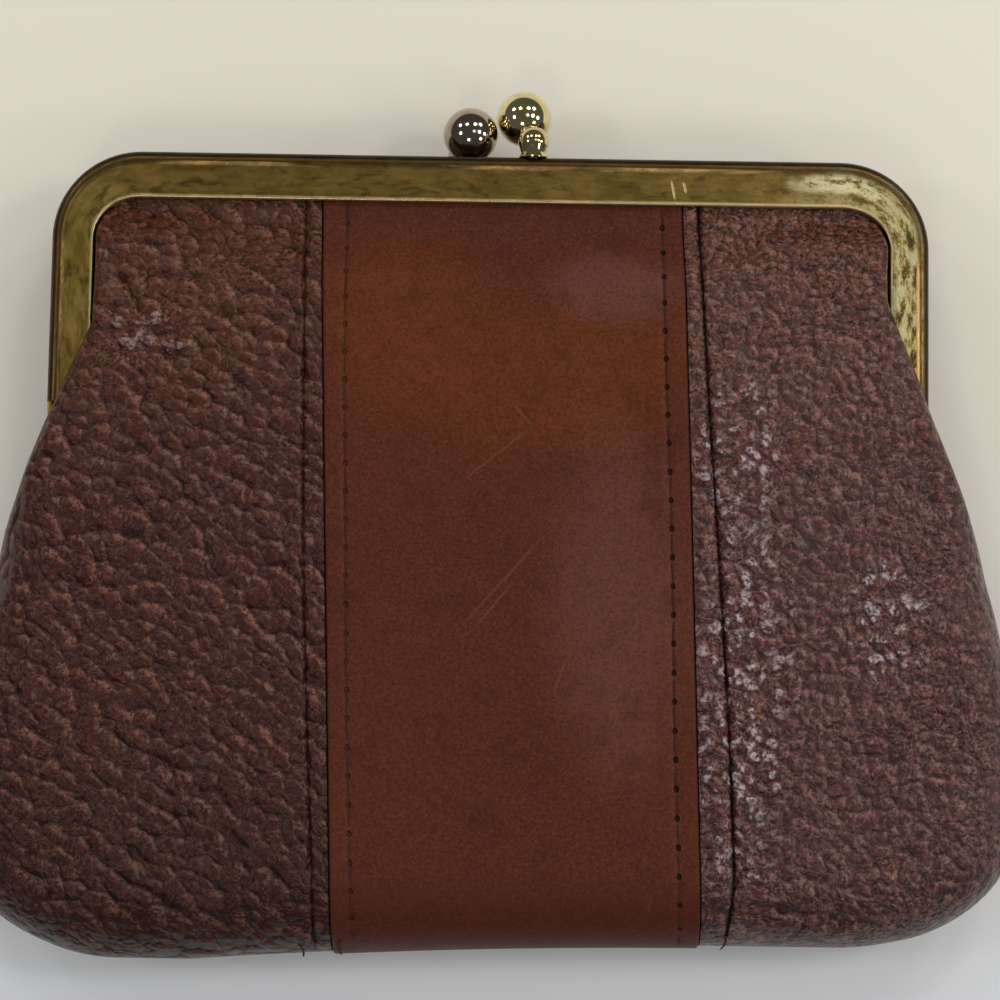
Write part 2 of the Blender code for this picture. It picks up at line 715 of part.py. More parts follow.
def ball_profile(apart, bead_radius):
    """Profile of a bored ball, as distances from its bead along the stem."""
    bore = STEM_RADIUS + POST_FIT
    seat = bead_radius + POST_FIT
    mouth, opening = apart - math.sqrt(BALL_RADIUS ** 2 - bore ** 2), bore
    seat_points = []
    meeting = (apart ** 2 + seat ** 2 - BALL_RADIUS ** 2) / (2 * apart)
    if abs(meeting) < seat and math.sqrt(seat ** 2 - meeting ** 2) > bore:
        mouth, opening = meeting, math.sqrt(seat ** 2 - meeting ** 2)
        ends = [math.asin(opening / seat), math.asin(bore / seat)]
        for step in range(1, EDGE_STEPS + 1):
            angle = blend(step / EDGE_STEPS, *ends)
            seat_points.append((seat * math.cos(angle), seat * math.sin(angle)))
    start = math.atan2(opening, mouth - apart)
    profile = []
    for step in range(BALL_RINGS + 1):
        angle = blend(step / BALL_RINGS, 0.0, start)
        radius = BALL_RADIUS * math.sin(angle) if step else 0.0
        profile.append((apart + BALL_RADIUS * math.cos(angle), radius))
    bore_end = apart - BALL_RADIUS + STEM_GRIP + POST_FIT
    return profile + seat_points + [(bore_end, bore), (bore_end, 0.0)]


def add_ball(name, face, material, parent):
    """Add a clasp ball, bored for its stem and seated on its bead."""
    bead, knob, bead_radius = clasp_places(face)
    apart = (knob - bead).length
    turned = turn_profile(ball_profile(apart, bead_radius), bead, (knob - bead).normalized())
    return add_object(name, turned, material, parent)


def add_packing(name, face, material, parent):
    """Add the paper strip at the back of the channel, along the top."""
    outer = FRAME_WALL + PACKING_END_GAP
    low, high = PACKING_BOTTOM, PACKING_BOTTOM + PACKING
    section = [(outer, low), (outer, high), (outer + PACKING_WIDTH, high), (outer + PACKING_WIDTH, low)]
    stations = frame_stations(None, LEAVE_ANGLE)
    return add_object(name, sweep_frame(section, stations, face), material, parent)


def main():
    """Build the whole purse."""
    clear_scene()
    brass = make_material("brass", (0.42, 0.32, 0.12), 1.0, 0.28)
    pebbled = make_material("pebbled_leather", (0.062, 0.028, 0.022), 0.0, 0.5)
    smooth_hide = make_material("smooth_leather", (0.095, 0.022, 0.012), 0.0, 0.42)
    cloth = make_material("lining_cloth", (0.16, 0.09, 0.05), 0.0, 0.9)
    paper = make_material("packing_paper", (0.42, 0.31, 0.2), 0.0, 0.95)

    front_axis = add_axis("front_half_axis")
    back_axis = add_axis("back_half_axis")

    add_frame("front_frame", FRONT, brass, front_axis)
    add_post("front_clasp_post", FRONT, brass, front_axis)
    add_ball("front_clasp_ball", FRONT, brass, front_axis)
    add_packing("front_packing_strip", FRONT, paper, front_axis)
    add_lining("front_lining_upper", FRONT, None, UPPER_LINING_END_Y, cloth, front_axis)

    add_frame("back_frame", BACK, brass, back_axis)
    add_post("back_clasp_post", BACK, brass, back_axis)
    add_ball("back_clasp_ball", BACK, brass, back_axis)
    add_packing("back_packing_strip", BACK, paper, back_axis)
    add_rivet("left_hinge_rivet", LEFT, brass, back_axis)
    add_rivet("right_hinge_rivet", RIGHT, brass, back_axis)
    add_lining("back_lining", BACK, None, None, cloth, back_axis)

    swing = crown_at(UPPER_LINING_END_Y, FRONT) - LINING_INSET
    lower_start = -swing - LINING_SWING_GAP
    add_lining("front_lining_lower", FRONT, lower_start, None, cloth, back_axis)

    for face, word in ((FRONT, "front"), (BACK, "back")):
        add_panel(f"{word}_left_panel", LEFT, face, pebbled, back_axis)
        add_strip(f"{word}_centre_strip", face, smooth_hide, back_axis)
        add_panel(f"{word}_right_panel", RIGHT, face, pebbled, back_axis)


if __name__ == "__main__":
    main()
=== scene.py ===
"""Looks of a coin purse with a kiss lock frame.

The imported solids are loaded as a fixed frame. Leather, lining, stitching and
brass are built over them and stand for the plain solids. Shapes are drawn in
millimetres from the middle of the hinge axis: x to the purse's right, y towards
the clasp and height from the parting plane between the two halves. Each mesh is
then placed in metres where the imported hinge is.
"""

import json
import logging
import math
from dataclasses import dataclass, field
from enum import Enum
from functools import partial, reduce
from typing import Any, Callable, Iterable, Sequence, Union

import bmesh
import bpy
import numpy as np
from mathutils import Matrix, Vector, noise

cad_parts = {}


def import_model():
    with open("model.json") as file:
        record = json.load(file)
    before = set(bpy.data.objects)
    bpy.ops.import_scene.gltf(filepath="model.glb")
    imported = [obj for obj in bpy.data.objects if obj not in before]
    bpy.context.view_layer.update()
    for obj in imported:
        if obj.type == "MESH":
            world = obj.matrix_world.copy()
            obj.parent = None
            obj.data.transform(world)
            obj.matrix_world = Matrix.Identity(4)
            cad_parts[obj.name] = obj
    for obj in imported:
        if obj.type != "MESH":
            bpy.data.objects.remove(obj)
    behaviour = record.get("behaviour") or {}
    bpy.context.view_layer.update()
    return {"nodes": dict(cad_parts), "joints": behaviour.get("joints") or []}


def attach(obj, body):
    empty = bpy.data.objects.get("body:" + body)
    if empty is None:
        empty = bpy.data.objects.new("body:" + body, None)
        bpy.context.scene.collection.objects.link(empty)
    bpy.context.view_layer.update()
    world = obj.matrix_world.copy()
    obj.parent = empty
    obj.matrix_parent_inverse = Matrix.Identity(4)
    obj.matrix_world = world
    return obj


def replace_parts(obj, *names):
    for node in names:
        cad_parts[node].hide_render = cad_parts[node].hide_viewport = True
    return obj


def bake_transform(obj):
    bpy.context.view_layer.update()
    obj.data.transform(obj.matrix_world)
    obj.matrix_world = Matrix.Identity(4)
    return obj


LOG = logging.getLogger("purse")
MM = 0.001
QUARTER = 0.5 * math.pi
SMALLEST = 1e-6
Array = np.ndarray
Colour = tuple[float, float, float, float]
Operand = Union["Number", float]
Socket = bpy.types.NodeSocket
Material = bpy.types.Material
Object = bpy.types.Object


class Side(Enum):
    """Side of the purse, as it lies in front of its owner."""

    LEFT = -1
    RIGHT = 1


class Face(Enum):
    """Half of the purse, above or below the parting plane."""

    FRONT = 1
    BACK = -1


class Body(Enum):
    """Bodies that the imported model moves."""

    FRONT_HALF = "front_half"
    BAG = "bag_and_back_frame"


class Slot(Enum):
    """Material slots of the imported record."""

    BRASS = "brass"
    PEBBLED = "pebbled_leather"
    SMOOTH = "smooth_leather"
    LINING = "lining"


def title(*parts: Enum | str) -> str:
    """Name of a piece, from its half, its side and what it is."""
    return "_".join(part if isinstance(part, str) else part.name.lower() for part in parts)


def srgb(red: float, green: float, blue: float) -> Colour:
    """Turn a colour written as 0 to 255 into a linear colour with full alpha."""
    parts = (part / 255.0 for part in (red, green, blue))
    return (*(p / 12.92 if p <= 0.04045 else ((p + 0.055) / 1.055) ** 2.4 for p in parts), 1.0)


def ease(share: Array | float) -> Array:
    """Ease shares between 0 and 1, level at both ends."""
    held = np.clip(share, 0.0, 1.0)
    return held * held * (3.0 - 2.0 * held)


def part_way(share: Array | float, start: Array | float, end: Array | float) -> Array:
    """Go from start to end by a share."""
    return start + (end - start) * share


def ridge(distance: Array, width: float) -> Array:
    """Rounded ridge of height 1 that fades within about a width."""
    return np.exp(-((distance / width) ** 2))


def swirl(points: Array, size: float, seed: float) -> Array:
    """Smooth noise from about -1 to 1 at a set of points."""
    scaled = points / size + seed
    return np.array([noise.noise(Vector(p)) for p in scaled])


# ---- shader graphs


def feed(tree: bpy.types.NodeTree, socket: Socket, value: Any) -> None:
    """Link a socket, or write a plain value into it.

    Args:
        tree: Tree that the socket is in.
        socket: The socket to feed.
        value: A number or a socket to link, or a plain value.
    """
    source = value.socket if isinstance(value, Number) else value
    if isinstance(source, Socket):
        tree.links.new(source, socket)
    else:
        socket.default_value = source


def add_node(
    tree: bpy.types.NodeTree,
    kind: str,
    settings: dict[str, Any] | None = None,
    sockets: dict[str | int, Any] | None = None,
) -> bpy.types.Node:
    """Add a node, choose its settings, then feed its sockets.

    Args:
        tree: Tree that takes the node.
        kind: Type of the node.
        settings: The node's own settings.
        sockets: Values or links by socket name or number.

    Returns:
        The new node.
    """
    made = tree.nodes.new(kind)
    for key, value in (settings or {}).items():
        setattr(made, key, value)
    for key, value in (sockets or {}).items():
        feed(tree, made.inputs[key], value)
    return made


def arithmetic(operation: str, swapped: bool = False) -> Callable[["Number", Operand], "Number"]:
    """Make an operator that adds the Math node of one operation.

    Args:
        operation: Operation of the Math node.
        swapped: Whether the other number comes first.

    Returns:
        The operator, as a method of a number.
    """

    def operator(number: "Number", other: Operand) -> "Number":
        """Work this number out with another."""
        pair = (other, number) if swapped else (number, other)
        return number.graph.maths(operation, *pair)

    return operator


class Number:
    """A number socket that takes part in Python arithmetic."""

    def __init__(self, graph: "Graph", socket: Socket) -> None:
        """Wrap a socket of a graph."""
        self.graph = graph
        self.socket = socket

    __add__ = arithmetic("ADD")
    __radd__ = arithmetic("ADD", swapped=True)
    __sub__ = arithmetic("SUBTRACT")
    __rsub__ = arithmetic("SUBTRACT", swapped=True)
    __mul__ = arithmetic("MULTIPLY")
    __rmul__ = arithmetic("MULTIPLY", swapped=True)
    __truediv__ = arithmetic("DIVIDE")
    larger = arithmetic("MAXIMUM")
    smaller = arithmetic("MINIMUM")

    def __abs__(self) -> "Number":
        """Give the size without the sign."""
        return self.graph.maths("ABSOLUTE", self)

    def root(self) -> "Number":
        """Give the square root."""
        return self.graph.maths("SQRT", self)

    def wave(self) -> "Number":
        """Give the sine."""
        return self.graph.maths("SINE", self)

    def step(self, low: float, high: float) -> "Number":
        """Rise smoothly from 0 at low to 1 at high."""
        span = {"Value": self, "From Min": low, "From Max": high}
        return self.graph.number("ShaderNodeMapRange", {"interpolation_type": "SMOOTHSTEP"}, span)

    def fade(self, low: float, high: float) -> "Number":
        """Fall smoothly from 1 at low to 0 at high."""
        return 1.0 - self.step(low, high)


def highest(masks: Iterable[Number]) -> Number:
    """The highest of some masks at each place."""
    return reduce(Number.larger, masks)


@dataclass(frozen=True)
class Oval:
    """Soft oval on a surface: its middle, and its reach across and along."""

    x: float
    y: float
    reach_x: float
    reach_y: float


@dataclass(frozen=True)
class Scratch:
    """Thin straight scratch on a surface, from its start to its end."""

    start: tuple[float, float]
    end: tuple[float, float]


class Graph:
    """Node graph of one material, whose colours are laid one over another."""

    def __init__(self, name: str, ground: Colour) -> None:
        """Start a material of that name.

        Args:
            name: Name of the material.
            ground: Colour that the others are laid on.
        """
        self.material = bpy.data.materials.new(name)
        self.material.use_nodes = True
        self.tree = self.material.node_tree
        self.tree.nodes.clear()
        self.node = partial(add_node, self.tree)
        self.shader = self.node("ShaderNodeBsdfPrincipled")
        self.node("ShaderNodeOutputMaterial", None, {"Surface": self.shader.outputs["BSDF"]})
        self.tint: Any = ground

    def number(self, *node: Any) -> Number:
        """Add a node by its type, settings and sockets, and take its first output."""
        return Number(self, self.node(*node).outputs[0])

    def maths(self, operation: str, *operands: Operand) -> Number:
        """Add a Math node for one operation on numbers."""
        return self.number("ShaderNodeMath", {"operation": operation}, dict(enumerate(operands)))

    def vector_maths(self, operation: str, first: Any, second: Any) -> Socket:
        """Add a Vector Math node for one operation on two vectors."""
        made = self.node("ShaderNodeVectorMath", {"operation": operation}, {0: first, 1: second})
        return made.outputs["Vector"]

    def attribute(self, name: str) -> Socket:
        """Read a vector attribute of the mesh."""
        return self.node("ShaderNodeAttribute", {"attribute_name": name}).outputs["Vector"]

    def object_place(self) -> Socket:
        """Read the Object coordinates in millimetres."""
        return self.stretched(self.node("ShaderNodeTexCoord").outputs["Object"], (1.0 / MM,) * 3)

    def axes(self, place: Socket) -> list[Number]:
        """Split a vector into its three numbers."""
        made = self.node("ShaderNodeSeparateXYZ", None, {0: place})
        return [Number(self, output) for output in made.outputs]

    def stretched(self, place: Socket, scale: tuple[float, float, float]) -> Socket:
        """Scale a place along each axis."""
        return self.vector_maths("MULTIPLY", place, scale)

    def cloud(
        self,
        place: Socket,
        size: float,
        detail: float = 2.0,
        rough: float = 0.5,
        twist: float = 0.0,
    ) -> Number:
        """Soft noise between 0 and 1.

        Args:
            place: Where to read it, in millimetres.
            size: Size of the waves in millimetres.
            detail: Number of finer layers.
            rough: Strength of the finer layers.
            twist: How much the waves are drawn out of shape.

        Returns:
            The noise as a number.
        """
        sockets = {
            "Vector": place, "Scale": 1.0 / size, "Detail": detail, "Roughness": rough,
            "Distortion": twist,
        }
        return self.number("ShaderNodeTexNoise", None, sockets)

    def cells(self, place: Socket, size: float, loose: float = 1.0) -> Number:
        """Distance to the nearest middle in a pattern of cells, as a share of their size."""
        sockets = {"Vector": place, "Scale": 1.0 / size, "Randomness": loose}
        return self.number("ShaderNodeTexVoronoi", None, sockets)

    def warped(self, place: Socket, size: float, amount: float) -> Socket:
        """Push a place about by noise.

        Args:
            place: The place in millimetres.
            size: Size of the waves that push it.
            amount: Furthest push in millimetres.

        Returns:
            The moved place.
        """
        made = self.node("ShaderNodeTexNoise", None, {"Vector": place, "Scale": 1.0 / size})
        centred = self.vector_maths("SUBTRACT", made.outputs["Color"], (0.5,) * 3)
        return self.vector_maths("ADD", place, self.stretched(centred, (2.0 * amount,) * 3))

    def turned(self, place: Socket, angle: float) -> Socket:
        """Turn a place about the upright axis."""
        sockets = {"Vector": place, "Angle": angle}
        return self.node("ShaderNodeVectorRotate", {"rotation_type": "Z_AXIS"}, sockets).outputs[0]

    def patch(self, x: Number, y: Number, oval: Oval, loose: Operand) -> Number:
        """Soft oval patch, 1 in its middle and 0 outside its reach."""
        across, along = (x - oval.x) / oval.reach_x, (y - oval.y) / oval.reach_y
        return (across * across + along * along + loose).fade(0.0, 1.0)

    def scratch(self, x: Number, y: Number, line: Scratch, width: float) -> Number:
        """Thin straight scratch that fades at its ends.

        Args:
            x: Place across.
            y: Place along.
            line: Where the scratch runs.
            width: Its width, in the unit of the place.

        Returns:
            The mask.
        """
        start, end = line.start, line.end
        run = (end[0] - start[0], end[1] - start[1])
        square = run[0] * run[0] + run[1] * run[1]
        share = ((x - start[0]) * run[0] + (y - start[1]) * run[1]) / square
        held = share.larger(0.0).smaller(1.0)
        off_x = x - start[0] - held * run[0]
        off_y = y - start[1] - held * run[1]
        away = (off_x * off_x + off_y * off_y).root()
        return away.fade(0.35 * width, width) * share.step(-0.1, 0.25) * share.fade(0.75, 1.1)

    def lay(self, mask: Number, colour: Colour) -> None:
        """Lay a colour over the others where a mask is 1."""
        sockets = {0: mask, 6: self.tint, 7: colour}
        self.tint = self.node("ShaderNodeMix", {"data_type": "RGBA"}, sockets).outputs[2]

    def finish(self, rough: Operand, relief: Number | None = None, **fixed: Any) -> Material:
        """Feed the shader and hand over the material.

        Args:
            rough: Roughness, plain or linked.
            relief: Height of the surface in millimetres.
            fixed: Values for other sockets, by name with _ for spaces.

        Returns:
            The finished material.
        """
        sockets = {"Base_Color": self.tint, "Roughness": rough, **fixed}
        if relief is not None:
            height = {"Height": relief, "Strength": 1.0, "Distance": MM}
            sockets["Normal"] = self.node("ShaderNodeBump", None, height).outputs["Normal"]
        for name, value in sockets.items():
            feed(self.tree, self.shader.inputs[name.replace("_", " ")], value)
        return self.material


# ---- finishes


@dataclass(frozen=True)
class PebbledLeather:
    """Dark reddish brown leather with a shrunken, pebbled grain."""

    name: str = "coarse_leather_finish"
    cell: float = 1.6
    stretch: tuple[float, float, float] = (0.86, 1.05, 0.7)
    slant: float = math.radians(35.0)
    pebble_rise: float = 0.62
    small_share: float = 0.42
    small_rise: float = 0.12
    wrinkle_rise: float = 0.08
    pore_rise: float = 0.012
    looseness: float = 0.9
    rough: float = 0.3
    shine: float = 0.34
    seam_shade: float = 0.5
    glossy: tuple[Oval, ...] = (Oval(-36.0, 11.0, 6.0, 5.0),)
    gloss: float = 0.12
    glint: Colour = (1.0, 0.8, 0.7, 1.0)
    # Bearing, reach and strength of the painted highlight on one side of each pebble.
    rim_bearing: float = math.radians(50.0)
    rim_reach: float = 0.3
    rim: float = 0.6
    # Strengths of the painted shade on the pebbles' far sides and in the fine cracks.
    hollow_shade: float = 0.7
    crack_shade: float = 0.0
    grit: float = 0.75
    veins: float = 0.25
    lower_shade: float = 0.45
    # Strength of the painted glints on pebble tops.
    glint_strength: float = 0.28
    # Colours: the deep one serves painted shade and dark grit, the raised one painted highlights on
    # the rims and the veins, the lightest one painted glints, the seam one painted shade along the
    # seam line.
    deep: Colour = srgb(24, 10, 8)
    low: Colour = srgb(61, 27, 22)
    high: Colour = srgb(74, 39, 25)
    raised: Colour = srgb(132, 90, 75)
    painted_glint: Colour = srgb(204, 192, 196)
    seam: Colour = srgb(15, 6, 5)

    @property
    def ahead(self) -> tuple[float, float, float]:
        """Short way towards the sides that take the painted highlight, in the grain's own stretched
        place.

        Returns:
            The way along each axis.
        """
        bearing = self.rim_bearing + self.slant
        x, y = math.cos(bearing) * self.stretch[0], math.sin(bearing) * self.stretch[1]
        return self.rim_reach * x, self.rim_reach * y, 0.0

    def material(self) -> Material:
        """Build the material.

        Returns:
            The material.
        """
        graph = Graph(self.name, self.low)
        place = graph.attribute("cut_place")
        x, y, _ = graph.axes(place)
        edge, away, _ = graph.axes(graph.attribute("seam_place"))
        drawn = graph.stretched(graph.turned(place, self.slant), self.stretch)
        moved = graph.warped(graph.warped(drawn, 5.0, 1.0), 1.3, 0.2)
        large = graph.cells(moved, self.cell, self.looseness)
        beyond = graph.vector_maths("ADD", moved, self.ahead)
        next_cells = graph.cells(beyond, self.cell, self.looseness)
        facing = next_cells * next_cells - large * large
        small = graph.cells(moved, self.small_share * self.cell)
        open_grain = graph.cloud(place, 13.0, 1.0).step(0.36, 0.6)
        wrinkles = graph.cloud(moved, 0.7, 3.0, 0.6, 0.5)
        pores = graph.cloud(place, 0.25)
        relief = large * large * (-self.pebble_rise) * (0.6 + 0.4 * open_grain)
        relief = relief - small * small * self.small_rise * (1.6 - open_grain)
        relief = relief + wrinkles * self.wrinkle_rise + pores * self.pore_rise
        graph.lay((y + graph.cloud(place, 18.0, 1.0) * 30.0).step(5.0, 42.0), self.high)
        # Painted shade in the valleys and cracks between the pebbles and on their sides facing away
        # from the rim bearing.
        valley = large.step(0.42, 0.9) * 0.4 + wrinkles.fade(0.3, 0.48) * 0.25
        shaded = valley.larger(facing.fade(-0.22, -0.03) * self.hollow_shade)
        graph.lay(shaded.larger(small.step(0.45, 0.8) * self.crack_shade), self.deep)
        broken = graph.cloud(place, 0.45, 4.0, 0.7)
        # Painted highlight on the sides of the pebbles that face the rim bearing, as if lit from
        # there.
        highlit_rims = facing.step(0.04, 0.2) * broken.step(0.38, 0.6)
        graph.lay(highlit_rims * self.rim, self.raised)
        graph.lay(broken.fade(0.32, 0.5) * self.grit, self.deep)
        veins = abs(graph.cloud(moved, 2.4, 5.0, 0.65) - 0.5).fade(0.0, 0.03) * self.veins
        graph.lay(veins * broken.step(0.4, 0.55), self.raised)
        graph.lay(y.fade(-56.0, -22.0) * self.lower_shade, self.deep)
        loose = graph.cloud(place, 3.0) * 1.4 - 0.7
        rubbed = highest(graph.patch(x, y, oval, loose) for oval in self.glossy)
        # Painted glints on the tops of chosen pebbles inside the glossy patches.
        chosen = graph.cloud(place, 1.5, 1.0).step(0.49, 0.56)
        glint_tops = rubbed * large.fade(0.3, 0.6) * chosen * self.glint_strength
        graph.lay(glint_tops * broken.step(0.36, 0.5) * 0.4, self.painted_glint)
        graph.lay(glint_tops * broken.step(0.46, 0.56) * 0.8, self.painted_glint)
        # Painted shade along the seam line and painted shadow under the strip's edge.
        line = abs(away).fade(0.06, 0.24) * self.seam_shade
        graph.lay(line.larger(edge.fade(0.05, 0.3) * 0.5), self.seam)
        rough = self.rough + graph.cloud(place, 6.0) * 0.14 + valley * 0.12 - 0.06
        rough = rough - rubbed * self.gloss
        return graph.finish(rough, relief, Specular_IOR_Level=self.shine, Specular_Tint=self.glint)


@dataclass(frozen=True)
class SmoothLeather:
    """Smooth reddish brown leather, rubbed orange and scratched in places, with a painted
    reflection in two patches.
    """

    body: Colour = srgb(80, 35, 22)
    dark: Colour = srgb(64, 25, 16)
    rubbed: Colour = srgb(98, 44, 6)
    painted_reflection: Colour = srgb(98, 60, 52)
    deep: Colour = srgb(52, 20, 13)
    light: Colour = srgb(104, 54, 34)
    scratched: Colour = srgb(122, 72, 48)
    hole: Colour = srgb(16, 7, 5)
    glint: Colour = (1.0, 0.76, 0.6, 1.0)
    pitch: float = 3.1
    scratch_width: float = 0.22
    rubbed_ovals: tuple[Oval, ...] = (Oval(-9.0, 13.0, 13.0, 13.0), Oval(6.0, 7.0, 21.0, 11.5))
    painted_reflection_ovals: tuple[Oval, ...] = (Oval(14.0, -18.0, 10.0, 24.0), Oval(13.0, 16.5, 9.0, 5.5))
    creased_oval: Oval = Oval(17.0, 14.0, 6.0, 9.0)
    scratches: tuple[Scratch, ...] = (
        Scratch((2.8, 3.4), (4.9, 1.1)),
        Scratch((4.9, 1.2), (-2.6, -4.9)),
        Scratch((-2.3, -20.2), (6.0, -10.8)),
        Scratch((-0.6, -20.0), (3.1, -15.4)),
        Scratch((7.5, -27.0), (8.6, -24.0)),
    )

    def material(self) -> Material:
        """Build the material.

        Returns:
            The material.
        """
        graph = Graph("smooth_leather_finish", self.body)
        place = graph.attribute("cut_place")
        edge, row, run = graph.axes(graph.attribute("seam_place"))
        x, y, _ = graph.axes(place)
        soft = graph.cloud(place, 12.0, 3.0, 0.55, 0.3)
        graph.lay(soft.step(0.35, 0.7) * 0.35, self.dark)
        loose = soft * 0.9 - 0.45
        for oval in self.rubbed_ovals:
            graph.lay(graph.patch(x, y, oval, loose) * 0.8, self.rubbed)
        # Painted reflection: a lighter greyish colour in two patches, standing in for a broad
        # highlight.
        reflection_patch = highest(graph.patch(x, y, oval, loose) for oval in self.painted_reflection_ovals)
        graph.lay(reflection_patch * 0.75, self.painted_reflection)
        graph.lay((y + soft * 3.0).step(19.5, 26.0) * 0.6, self.dark)
        specks = graph.cloud(place, 0.3, 3.0, 0.7)
        fibres = graph.cloud(graph.warped(place, 1.5, 0.5), 0.4, 4.0, 0.7)
        mottling = graph.cloud(graph.warped(place, 4.0, 1.0), 3.2, 4.0, 0.65)
        graph.lay(specks.step(0.42, 0.66) * 0.35, self.light)
        graph.lay(specks.fade(0.34, 0.54) * 0.4, self.deep)
        graph.lay(fibres.fade(0.36, 0.54) * 0.35, self.deep)
        graph.lay(fibres.step(0.5, 0.68) * 0.3, self.light)
        graph.lay(mottling.fade(0.3, 0.5) * 0.35, self.deep)
        lower = y.fade(-50.0, -44.0) * 0.5
        graph.lay(lower.larger(edge.fade(0.0, 0.4) * 0.6), self.dark)
        marks = highest(graph.scratch(x, y, line, self.scratch_width) for line in self.scratches)
        drawn = graph.stretched(graph.warped(place, 9.0, 2.0), (1.0, 0.08, 1.0))
        lines = graph.cloud(drawn, 0.35, 1.0).step(0.7, 0.75)
        fine = lines * graph.cloud(place, 7.0, 1.0).step(0.55, 0.65)
        graph.lay(marks * 0.28 + fine * 0.2, self.scratched)
        along = (0.5 - graph.maths("PINGPONG", run, 0.5)) * self.pitch
        away = (row * row + along * along * 0.45).root()
        holes = away.fade(0.14, 0.3) * (0.55 + x.step(-1.0, 1.0) * 0.45)
        # Painted shade in the stitch holes, fainter on the left row.
        graph.lay(holes, self.hole)
        folds = graph.cloud(graph.stretched(place, (0.35, 1.0, 1.0)), 0.9)
        creased = graph.patch(x, y, self.creased_oval, 0.0)
        grain = graph.cloud(graph.warped(place, 0.8, 0.15), 0.45, 3.0, 0.6)
        relief = grain * 0.06 + soft * 0.12 - holes * 0.3 - marks * 0.02 + folds * creased * 0.16
        rough = 0.4 + soft * 0.12 + specks * 0.08 + reflection_patch * 0.04
        return graph.finish(rough, relief, Specular_IOR_Level=0.2, Specular_Tint=self.glint)


@dataclass(frozen=True)
class AgedBrass:
    """Brass gone olive, the top band painted darker, a painted dark reflection on its outer side,
    painted highlights on its shoulder, lip and right corner, and the right leg pale, partly worn
    and partly painted highlight.
    """

    clean: Colour = (0.62, 0.41, 0.115, 1.0)
    olive: Colour = (0.34, 0.225, 0.045, 1.0)
    dull: Colour = (0.15, 0.088, 0.024, 1.0)
    dark: Colour = (0.07, 0.045, 0.025, 1.0)
    outer_dark_reflection: Colour = (0.08, 0.044, 0.016, 1.0)
    stain: Colour = (0.06, 0.045, 0.018, 1.0)
    # bright serves the painted highlight on the lip and the bare metal in the nicks; golden the
    # painted highlight on the shoulder.
    bright: Colour = (1.0, 0.8, 0.42, 1.0)
    golden: Colour = (1.0, 0.62, 0.22, 1.0)
    pale: Colour = (0.82, 0.74, 0.41, 1.0)
    corner_glint: Colour = (1.0, 0.93, 0.55, 1.0)
    corner_glint_oval: Oval = Oval(105.0, 2.6, 7.0, 1.3)
    nick_width: float = 0.16
    nicks: tuple[Scratch, ...] = (
        Scratch((19.5, 28.6), (19.9, 26.4)),
        Scratch((20.8, 28.4), (21.1, 27.2)),
    )

    def material(self) -> Material:
        """Build the material.

        Returns:
            The material.
        """
        graph = Graph("aged_brass_finish", self.olive)
        x, y, _ = graph.axes(graph.attribute("cut_place"))
        band = graph.attribute("band_place")
        inset, run, _ = graph.axes(band)
        along = graph.stretched(band, (1.0, 0.4, 1.0))
        mottled = graph.cloud(graph.warped(along, 2.0, 0.5), 1.3, 4.0, 0.65)
        streaks = graph.cloud(graph.stretched(band, (1.0, 0.06, 1.0)), 0.4)
        graph.lay(mottled.step(0.36, 0.64) * 0.7 + streaks * 0.3, self.clean)
        spots = graph.cloud(along, 0.8, 4.0, 0.75).step(0.46, 0.6)
        # Painted shade: the top band darker than the legs, standing in for a darker reflection.
        painted_top_shade = run.step(18.0, 36.0) * run.fade(92.0, 116.0)
        graph.lay(painted_top_shade * 0.5, self.dull)
        stained = graph.cloud(graph.warped(along, 2.0, 0.8), 1.6, 5.0, 0.7).fade(0.36, 0.52)
        graph.lay(stained.larger(spots * 0.7) * 0.6, self.stain)
        patches = graph.cloud(along, 0.9, 6.0, 0.8)
        # Right end: dark and pale patches; the pale ones are partly worn plating and partly a
        # painted highlight where the leg mirrors a lamp.
        end = run.step(92.0, 118.0)
        graph.lay(end * patches.fade(0.4, 0.5) * 0.85, self.stain)
        graph.lay(end * patches.step(0.44, 0.58) * 0.9, self.pale)
        # Painted highlight in patches on the right corner's face.
        rubbed = graph.patch(run, inset, self.corner_glint_oval, 0.6 - patches * 1.2)
        graph.lay(rubbed * patches.step(0.38, 0.5) * 0.9, self.corner_glint)
        # Painted dark reflection on the outer rounding, darkest at the outer edge.
        ragged = inset + streaks * 0.5 - 0.25
        graph.lay(ragged.fade(1.1, 1.8) * 0.85, self.outer_dark_reflection)
        graph.lay(ragged.fade(0.35, 0.9) * 0.9, self.dark)
        # Painted highlight in broken streaks along the shoulder.
        highlight_streaks = graph.cloud(graph.stretched(band, (1.0, 0.1, 1.0)), 1.6).step(0.42, 0.56)
        shoulder = inset.step(1.05, 1.25) * inset.fade(1.35, 1.7) * highlight_streaks
        graph.lay(shoulder * 0.9, self.golden)
        # Painted highlight along the inner lip.
        graph.lay(inset.step(4.7, 4.95) * 0.85, self.bright)
        marks = highest(graph.scratch(x, y, nick, self.nick_width) for nick in self.nicks)
        graph.lay(marks * 0.7, self.bright)
        rough = 0.26 + mottled * 0.16 + spots * 0.1 - shoulder * 0.08
        relief = mottled * 0.03 + streaks * 0.008 - marks * 0.03
        return graph.finish(rough, relief, Metallic=1.0)


@dataclass(frozen=True)
class BrightBrass:
    """Brass of the clasp, kept bright by fingers."""

    name: str
    clean: Colour
    dull: Colour
    rough: float = 0.07

    def material(self) -> Material:
        """Build the material.

        Returns:
            The material.
        """
        graph = Graph(self.name, self.clean)
        place = graph.object_place()
        tarnish = graph.cloud(place, 1.6, 4.0, 0.6).step(0.4, 0.8)
        graph.lay(tarnish * 0.8, self.dull)
        relief = graph.cloud(place, 0.4) * 0.002
        return graph.finish(self.rough + tarnish * 0.07, relief, Metallic=1.0)


